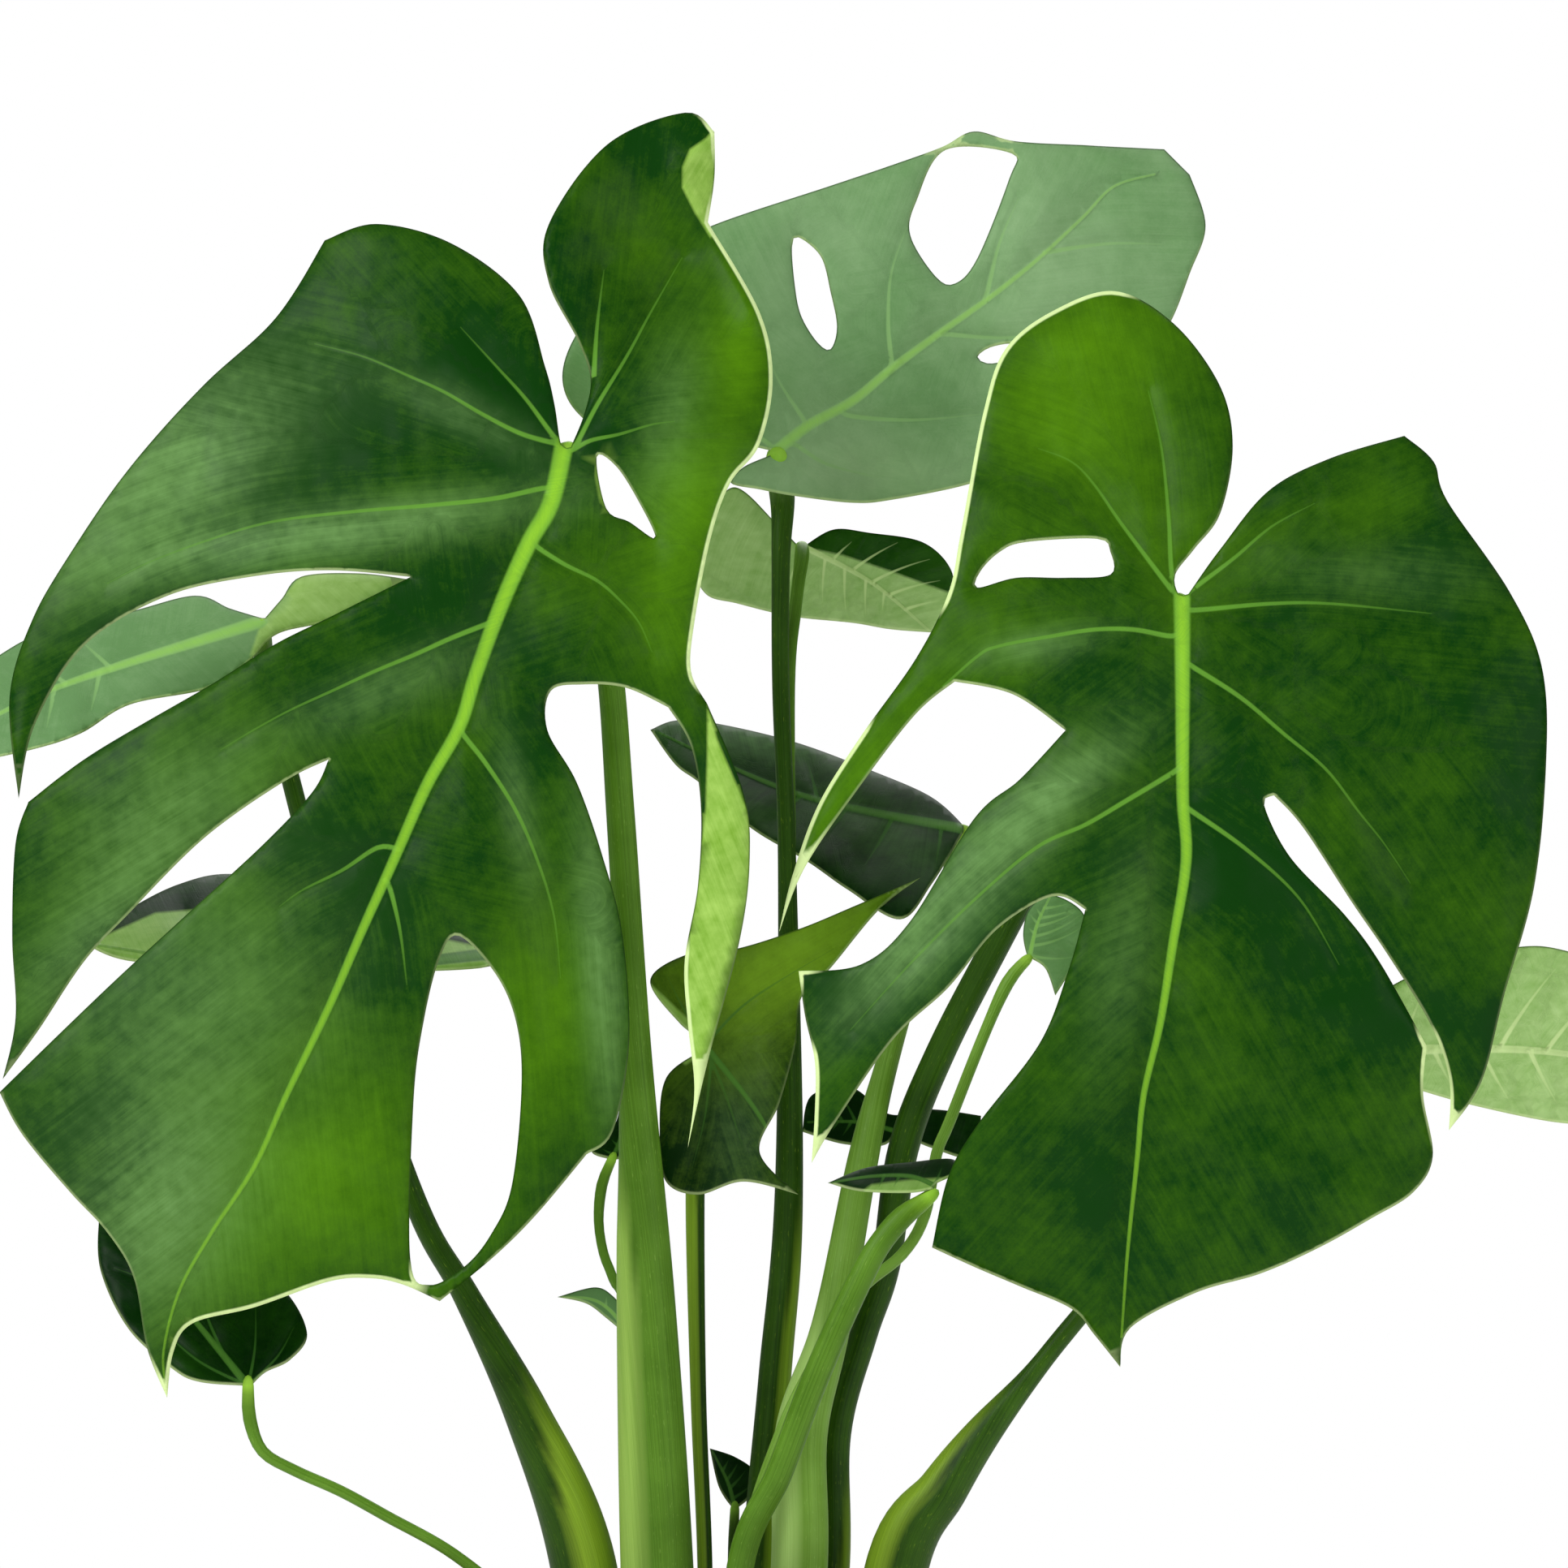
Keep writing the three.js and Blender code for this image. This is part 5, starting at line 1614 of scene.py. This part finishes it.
# ---- pot and soil ---------------------------------------------------------------------------
@dataclass
class NurseryPot:
    """The plain plastic pot that the plant grows in."""

    low: Vector
    high: Vector
    base_radius: float = 78
    wall: float = 1.6
    lip: float = 4
    lip_height: float = 14
    hole_radius: float = 6
    hole_ring: float = 52
    holes: int = 6

    def inner(self, level: float) -> float:
        """Gives the radius inside the wall at a height above the pot's underside."""
        height = (self.high.z - self.low.z) / MM
        neck = (self.high.x - self.low.x) / 2 / MM - self.lip
        return self.base_radius + (neck - self.base_radius) * level / height - self.wall

    def build(self, plastic: bpy.types.Material) -> None:
        """Spins the pot's wall and lip, cuts the drain holes and rounds the edges.

        Args:
            plastic: The pot's material.
        """
        height = (self.high.z - self.low.z) / MM
        rim = (self.high.x - self.low.x) / 2 / MM
        shoulder, floor = height - self.lip_height, self.inner(self.wall)
        profile = [(0, 0), (self.base_radius - 1, 0), (self.base_radius, 1),
                   (self.inner(shoulder) + self.wall, shoulder),
                   (rim - 0.6, shoulder), (rim, shoulder + 0.6), (rim, height - 0.8),
                   (rim - 0.8, height), (self.inner(height) + 0.8, height),
                   (self.inner(height), height - 0.8),
                   (floor - 1, self.wall + 0.5), (floor - 2.5, self.wall), (0, self.wall)]
        places = np.array([(x, 0, z + self.low.z / MM) for x, z in profile])
        bpy.ops.object.select_all(action="DESELECT")
        mesh = bpy.data.meshes.new("nursery_pot_shell")
        mesh.from_pydata((places * MM).tolist(), [(i, i + 1) for i in range(len(places) - 1)], [])
        pot = bpy.data.objects.new("nursery_pot_shell", mesh)
        bpy.context.scene.collection.objects.link(pot)
        only(pot)
        bpy.ops.object.mode_set(mode="EDIT")
        bpy.ops.mesh.select_all(action="SELECT")
        bpy.ops.mesh.spin(steps=96, angle=2 * math.pi, center=(0, 0, 0), axis=(0, 0, 1))
        bpy.ops.mesh.select_all(action="SELECT")
        bpy.ops.mesh.remove_doubles(threshold=0.00002)
        bpy.ops.mesh.normals_make_consistent(inside=False)
        bpy.ops.object.mode_set(mode="OBJECT")
        ring = self.hole_ring * MM
        for number in range(self.holes):
            angle = 2 * math.pi * number / self.holes
            bpy.ops.mesh.primitive_cylinder_add(
                vertices=24,
                radius=self.hole_radius * MM,
                depth=0.03,
                location=(ring * math.cos(angle), ring * math.sin(angle), self.low.z),
            )
            drill = bpy.context.active_object
            cut = pot.modifiers.new("drain", "BOOLEAN")
            cut.object, cut.operation, cut.solver = drill, "DIFFERENCE", "EXACT"
            only(pot)
            bpy.ops.object.modifier_apply(modifier=cut.name)
            bpy.data.objects.remove(drill)
        sharpen(pot, 35)
        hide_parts("nursery_pot")
        dress(pot, "pot_plastic", plastic)


@dataclass
class Soil:
    """The potting soil: a crumbly top with bark and white grit."""

    low: Vector
    high: Vector
    crumbs: int = 420
    seed: int = 11

    def body(self) -> bpy.types.Object:
        """Makes the soil's body, with its uneven top."""
        radius = (self.high.x - self.low.x) / 2
        bottom, top = self.low.z, self.high.z
        bpy.ops.object.select_all(action="DESELECT")
        bpy.ops.mesh.primitive_circle_add(
            vertices=96, radius=radius - 0.0005, fill_type="NOTHING", location=(0, 0, top)
        )
        soil = bpy.context.active_object
        soil.name = soil.data.name = "soil_body"
        bpy.ops.object.transform_apply(location=True, rotation=True, scale=True)
        bpy.ops.object.mode_set(mode="EDIT")
        bpy.ops.mesh.select_all(action="SELECT")
        bpy.ops.mesh.extrude_region_move(TRANSFORM_OT_translate={"value": (0, 0, 0)})
        for share in np.linspace(0.97, 0.03, 32):
            inward = share / self.last(share)
            bpy.ops.transform.resize(value=(inward, inward, 1), center_override=(0, 0, top))
            bpy.ops.mesh.extrude_region_move(TRANSFORM_OT_translate={"value": (0, 0, 0)})
        bpy.ops.mesh.merge(type="CENTER")
        bpy.ops.object.mode_set(mode="OBJECT")
        mesh = soil.data
        places = np.empty(len(mesh.vertices) * 3)
        mesh.vertices.foreach_get("co", places)
        places = places.reshape(-1, 3)
        out = np.hypot(places[:, 0], places[:, 1])
        level = ripples(places / MM, 46, 4) * 0.0016 + ripples(places / MM, 13, 6) * 0.0010
        places[:, 2] = top - 0.0036 + level * np.clip((radius - out) / 0.012, 0, 1)
        mesh.vertices.foreach_set("co", places.ravel())
        return soil

    def last(self, share: float) -> float:
        """Gives the ring's share of the radius before this one."""
        step = (0.97 - 0.03) / 31
        return 1.0 if share > 0.969 else share + step

    def scattered(self, name: str, count: int, sizes: tuple, flat: float, lift: float) -> bpy.types.Object:
        """Scatters small lumps over the soil.

        Args:
            name: The piece's name.
            count: How many lumps.
            sizes: Smallest and largest half length, in metres.
            flat: Height against length.
            lift: Height of the lumps' middles above the soil's mean level.

        Returns:
            The lumps as one piece.
        """
        chance = np.random.default_rng(self.seed + count)
        bpy.ops.object.select_all(action="DESELECT")
        bpy.ops.mesh.primitive_ico_sphere_add(subdivisions=1, radius=1)
        model = bpy.context.active_object
        form = np.array([tuple(corner.co) for corner in model.data.vertices])
        sides = [tuple(face.vertices) for face in model.data.polygons]
        bpy.data.objects.remove(model)
        radius = (self.high.x - self.low.x) / 2 - 0.006
        places, faces, tint = [], [], []
        for number in range(count):
            far, angle = radius * math.sqrt(chance.uniform()), chance.uniform(0, 2 * math.pi)
            size = chance.uniform(*sizes)
            lump = form * (1 + chance.normal(0, 0.16, (len(form), 1)))
            lump = lump * (size, size * chance.uniform(0.45, 0.8), size * flat)
            spin, tip = chance.uniform(0, 2 * math.pi), chance.normal(0, 0.35)
            turn = np.array(
                [[math.cos(spin), -math.sin(spin), 0], [math.sin(spin), math.cos(spin), 0], [0, 0, 1]]
            )
            tilt = np.array(
                [[1, 0, 0], [0, math.cos(tip), -math.sin(tip)], [0, math.sin(tip), math.cos(tip)]]
            )
            centre = (far * math.cos(angle), far * math.sin(angle), self.high.z - 0.0036 + lift)
            places.append(lump @ tilt.T @ turn.T + centre)
            faces += [tuple(corner + number * len(form) for corner in side) for side in sides]
            tint.append(np.full(len(form), chance.uniform()))
        piece = mesh_piece(name, np.vstack(places) / MM, faces)
        paint(piece, "tint", np.concatenate(tint))
        sharpen(piece, 30)
        return piece

    def build(self, earth: bpy.types.Material, bark: bpy.types.Material, grit: bpy.types.Material) -> None:
        """Makes and dresses the soil, the bark and the grit.

        Args:
            earth: The soil's material.
            bark: The bark's material.
            grit: The grit's material.
        """
        body = self.body()
        sharpen(body, 60)
        chips = self.scattered("soil_bark", self.crumbs, (0.0022, 0.0058), 0.34, 0.0006)
        white = self.scattered("soil_grit", self.crumbs // 4, (0.0010, 0.0021), 0.8, 0.0006)
        for piece, material in ((body, earth), (chips, bark), (white, grit)):
            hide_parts("potting_soil")
            dress(piece, "soil", material)


# ---- finishes of the basket, pot and soil ---------------------------------------------------
@dataclass(frozen=True)
class HolderFinish:
    """The materials of the basket, the pot and the soil."""

    willow_light: Colour = shade(206, 170, 118)
    willow_dark: Colour = shade(142, 100, 58)
    willow_old: Colour = shade(104, 70, 40)
    plastic: Colour = shade(38, 40, 40)
    earth_dark: Colour = shade(34, 24, 18)
    earth_light: Colour = shade(78, 58, 42)

    def wicker(self) -> bpy.types.Material:
        """Makes the wicker, with fibres along each strand and a different tone for each."""
        shader = Shader("wicker")
        fibres = shader.noise(shader.vector("grain", (3.2, 0.035, 1.0)), 1.0, 4.0)
        strand = shader.noise(shader.vector("grain", (0.02, 0.004, 0.6)), 1.0, 2.0)
        stain = shader.noise(shader.place(), 55.0, 4.0)
        base = shader.mix(fibres * 1.0 + strand * 1.2 - 0.7, self.willow_dark, self.willow_light)
        base = shader.mix(stain.fade(0.30, 0.44) * 0.5, base, self.willow_old)
        shader.bump(fibres * 0.8 + stain * 0.2, 0.0008, 0.6)
        return shader.finish(Base_Color=base, Roughness=fibres * 0.2 + 0.45, Coat_Weight=0.06)

    def pot(self) -> bpy.types.Material:
        """Makes the dark moulded plastic."""
        shader = Shader("pot_plastic")
        place = shader.place()
        grain = shader.noise(place, 900.0, 3.0)
        dust = shader.noise(place, 30.0, 4.0)
        base = shader.mix(dust.fade(0.55, 0.3) * 0.35, self.plastic, self.earth_light)
        shader.bump(grain, 0.0003, 0.3)
        return shader.finish(Base_Color=base, Roughness=dust * 0.2 + 0.35)

    def earth(self) -> bpy.types.Material:
        """Makes the dark crumbly soil."""
        shader = Shader("soil")
        place = shader.place()
        crumbs = shader.noise(place, 420.0, 6.0)
        patches = shader.noise(place, 60.0, 4.0)
        base = shader.mix(crumbs * 1.4 + patches * 0.6 - 0.6, self.earth_dark, self.earth_light)
        shader.bump(crumbs * 0.8 + patches * 0.2, 0.003, 1.0)
        return shader.finish(Base_Color=base, Roughness=crumbs * 0.2 + 0.75)

    def chips(self, name: str, dark: Colour, light: Colour) -> bpy.types.Material:
        """Makes bark or grit whose tone differs from lump to lump.

        Args:
            name: The material's name.
            dark: The darkest tone.
            light: The lightest tone.

        Returns:
            The material.
        """
        shader = Shader(name)
        speck = shader.noise(shader.place(), 700.0, 4.0)
        base = shader.mix(shader.number("tint") * 0.7 + speck * 0.6 - 0.2, dark, light)
        shader.bump(speck, 0.001, 0.8)
        return shader.finish(Base_Color=base, Roughness=speck * 0.2 + 0.7)


LEAF_FINISHES = {
    Skin.GLOSSY: LeafFinish(
        "glossy_leaf", shade(4, 52, 0), shade(72, 120, 0), shade(98, 138, 76), shade(132, 186, 42),
        shade(92, 146, 46), shade(104, 150, 36), shade(170, 206, 104), 0.46, 0.05,
    ),
    Skin.SATIN: LeafFinish(
        "satin_leaf", shade(98, 138, 86), shade(142, 174, 128), shade(128, 166, 118), shade(140, 190, 90),
        shade(132, 174, 108), shade(126, 162, 76), shade(166, 198, 122), 0.48, 0.06,
    ),
    Skin.DARK: LeafFinish(
        "dark_leaf", shade(0, 36, 0), shade(34, 84, 2), shade(80, 118, 66), shade(78, 126, 46),
        shade(56, 102, 36), shade(110, 152, 60), shade(150, 184, 104), 0.42, 0.06,
    ),
    Skin.OLIVE: LeafFinish(
        "dark_leaf", shade(4, 40, 0), shade(112, 152, 30), shade(84, 116, 78), shade(78, 126, 46),
        shade(66, 110, 40), shade(120, 160, 60), shade(150, 184, 104), 0.42, 0.06,
    ),
    Skin.PALE: LeafFinish(
        "pale_leaf", shade(10, 58, 0), shade(52, 104, 4), shade(110, 150, 80), shade(176, 208, 140),
        shade(188, 214, 150), shade(130, 172, 88), shade(184, 214, 146), 0.46, 0.06,
    ),
}
STALK_FINISHES = {
    Skin.GREEN_STALK: StalkFinish(
        "stalk_green", shade(98, 142, 40), shade(56, 94, 4), shade(150, 184, 84), shade(150, 200, 60),
    ),
    Skin.LIGHT_STALK: StalkFinish(
        "stalk_green", shade(128, 170, 72), shade(84, 124, 22), shade(160, 194, 108), shade(150, 190, 70),
    ),
    Skin.DARK_STALK: StalkFinish(
        "dark_stalk", shade(58, 98, 12), shade(18, 48, 0), shade(142, 176, 44), shade(140, 190, 60),
    ),
}


# ---- studio ---------------------------------------------------------------------------------
@dataclass
class Studio:
    """The camera, the floor and the soft light."""

    across: float = 0.0215
    height: float = 0.5038
    width: float = 0.483
    distance: float = 7.0
    front: float = -0.045

    def camera(self) -> None:
        """Places the level camera that looks along +Y."""
        bpy.ops.object.select_all(action="DESELECT")
        place = (self.across, self.front - self.distance, self.height)
        bpy.ops.object.camera_add(location=place, rotation=(math.pi / 2, 0, 0))
        camera = bpy.context.active_object
        camera.data.sensor_width = 36
        camera.data.lens = 36 * self.distance / self.width
        camera.data.clip_end = 60
        bpy.context.scene.camera = camera

    def floor(self) -> None:
        """Makes the pale floor."""
        bpy.ops.object.select_all(action="DESELECT")
        bpy.ops.mesh.primitive_plane_add(size=13, location=(0, 0, 0))
        floor = bpy.context.active_object
        floor.name = "studio_floor"
        shader = Shader("floor")
        cloud = shader.noise(shader.place(), 1.5, 2.0)
        base = shader.mix(cloud, shade(240, 240, 238), shade(246, 246, 245))
        floor.data.materials.append(
            shader.finish(
                Base_Color=base, Roughness=0.9, Emission_Color=(1.0, 1.0, 1.0), Emission_Strength=0.28
            )
        )

    def lamp(self, place: tuple, target: tuple, size: float, power: float) -> None:
        """Adds one soft lamp.

        Args:
            place: Where it stands.
            target: What it points at.
            size: Its width.
            power: Its power in watts.
        """
        way = Vector(target) - Vector(place)
        turned = way.to_track_quat("-Z", "Y").to_euler()
        bpy.ops.object.light_add(type="AREA", location=place, rotation=turned)
        lamp = bpy.context.active_object
        lamp.data.size = size
        lamp.data.energy = power

    def light(self) -> None:
        """Adds the white surroundings and the soft lamps."""
        world = bpy.data.worlds.new("white")
        bpy.context.scene.world = world
        world.use_nodes = True
        nodes, links = world.node_tree.nodes, world.node_tree.links
        around = nodes["Background"]
        around.inputs["Color"].default_value = (1, 1, 1, 1)
        around.inputs["Strength"].default_value = 0.48
        seen = nodes.new("ShaderNodeBackground")
        seen.inputs["Strength"].default_value = 1.0
        path, mix = nodes.new("ShaderNodeLightPath"), nodes.new("ShaderNodeMixShader")
        dim, softer = nodes.new("ShaderNodeBackground"), nodes.new("ShaderNodeMixShader")
        dim.inputs["Color"].default_value = (1, 1, 1, 1)
        dim.inputs["Strength"].default_value = 0.25
        links.new(path.outputs["Is Glossy Ray"], softer.inputs[0])
        links.new(around.outputs[0], softer.inputs[1])
        links.new(dim.outputs[0], softer.inputs[2])
        links.new(path.outputs["Is Camera Ray"], mix.inputs[0])
        links.new(softer.outputs[0], mix.inputs[1])
        links.new(seen.outputs[0], mix.inputs[2])
        links.new(mix.outputs[0], nodes["World Output"].inputs["Surface"])
        seen.inputs["Color"].default_value = (1, 1, 1, 1)
        self.lamp((-1.1, -1.3, 1.7), (0, 0, 0.45), 1.1, 34)
        self.lamp((1.5, -1.2, 1.0), (0, 0, 0.45), 1.0, 9)
        self.lamp((0.3, 1.5, 1.5), (0, 0, 0.5), 1.2, 12)
        bpy.context.scene.view_settings.view_transform = "Standard"

    def build(self) -> None:
        """Sets up the studio."""
        self.camera()
        self.floor()
        self.light()


# ---- the whole plant ------------------------------------------------------------------------
def main() -> None:
    """Builds the studio, the holder and the leaves in order."""
    Studio().build()
    holder = HolderFinish()
    Basket(*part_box("basket")).build(holder.wicker())
    NurseryPot(*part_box("nursery_pot")).build(holder.pot())
    soil_low, soil_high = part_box("potting_soil")
    Soil(soil_low, soil_high).build(
        holder.earth(),
        holder.chips("bark", shade(52, 34, 22), shade(112, 78, 50)),
        holder.chips("grit", shade(176, 172, 162), shade(226, 224, 216)),
    )
    faces = {
        skin: (finish.face(skin.value, False), finish.face(skin.value + "_under", True))
        for skin, finish in LEAF_FINISHES.items()
    }
    skins = {skin: finish.material(skin.value) for skin, finish in STALK_FINISHES.items()}
    for leaf in LEAVES:
        blade = Blade(leaf, soil_high.z / MM).build()
        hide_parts(leaf.name + "_leaf_blade")
        dress(blade, LEAF_FINISHES[leaf.finish].slot, *faces[leaf.finish])
        stalk = Stalk(leaf, soil_high.z / MM).build()
        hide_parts(leaf.name + "_leaf_stalk")
        dress(stalk, STALK_FINISHES[leaf.stalk_skin].slot, skins[leaf.stalk_skin])


if __name__ == "__main__":
    main()
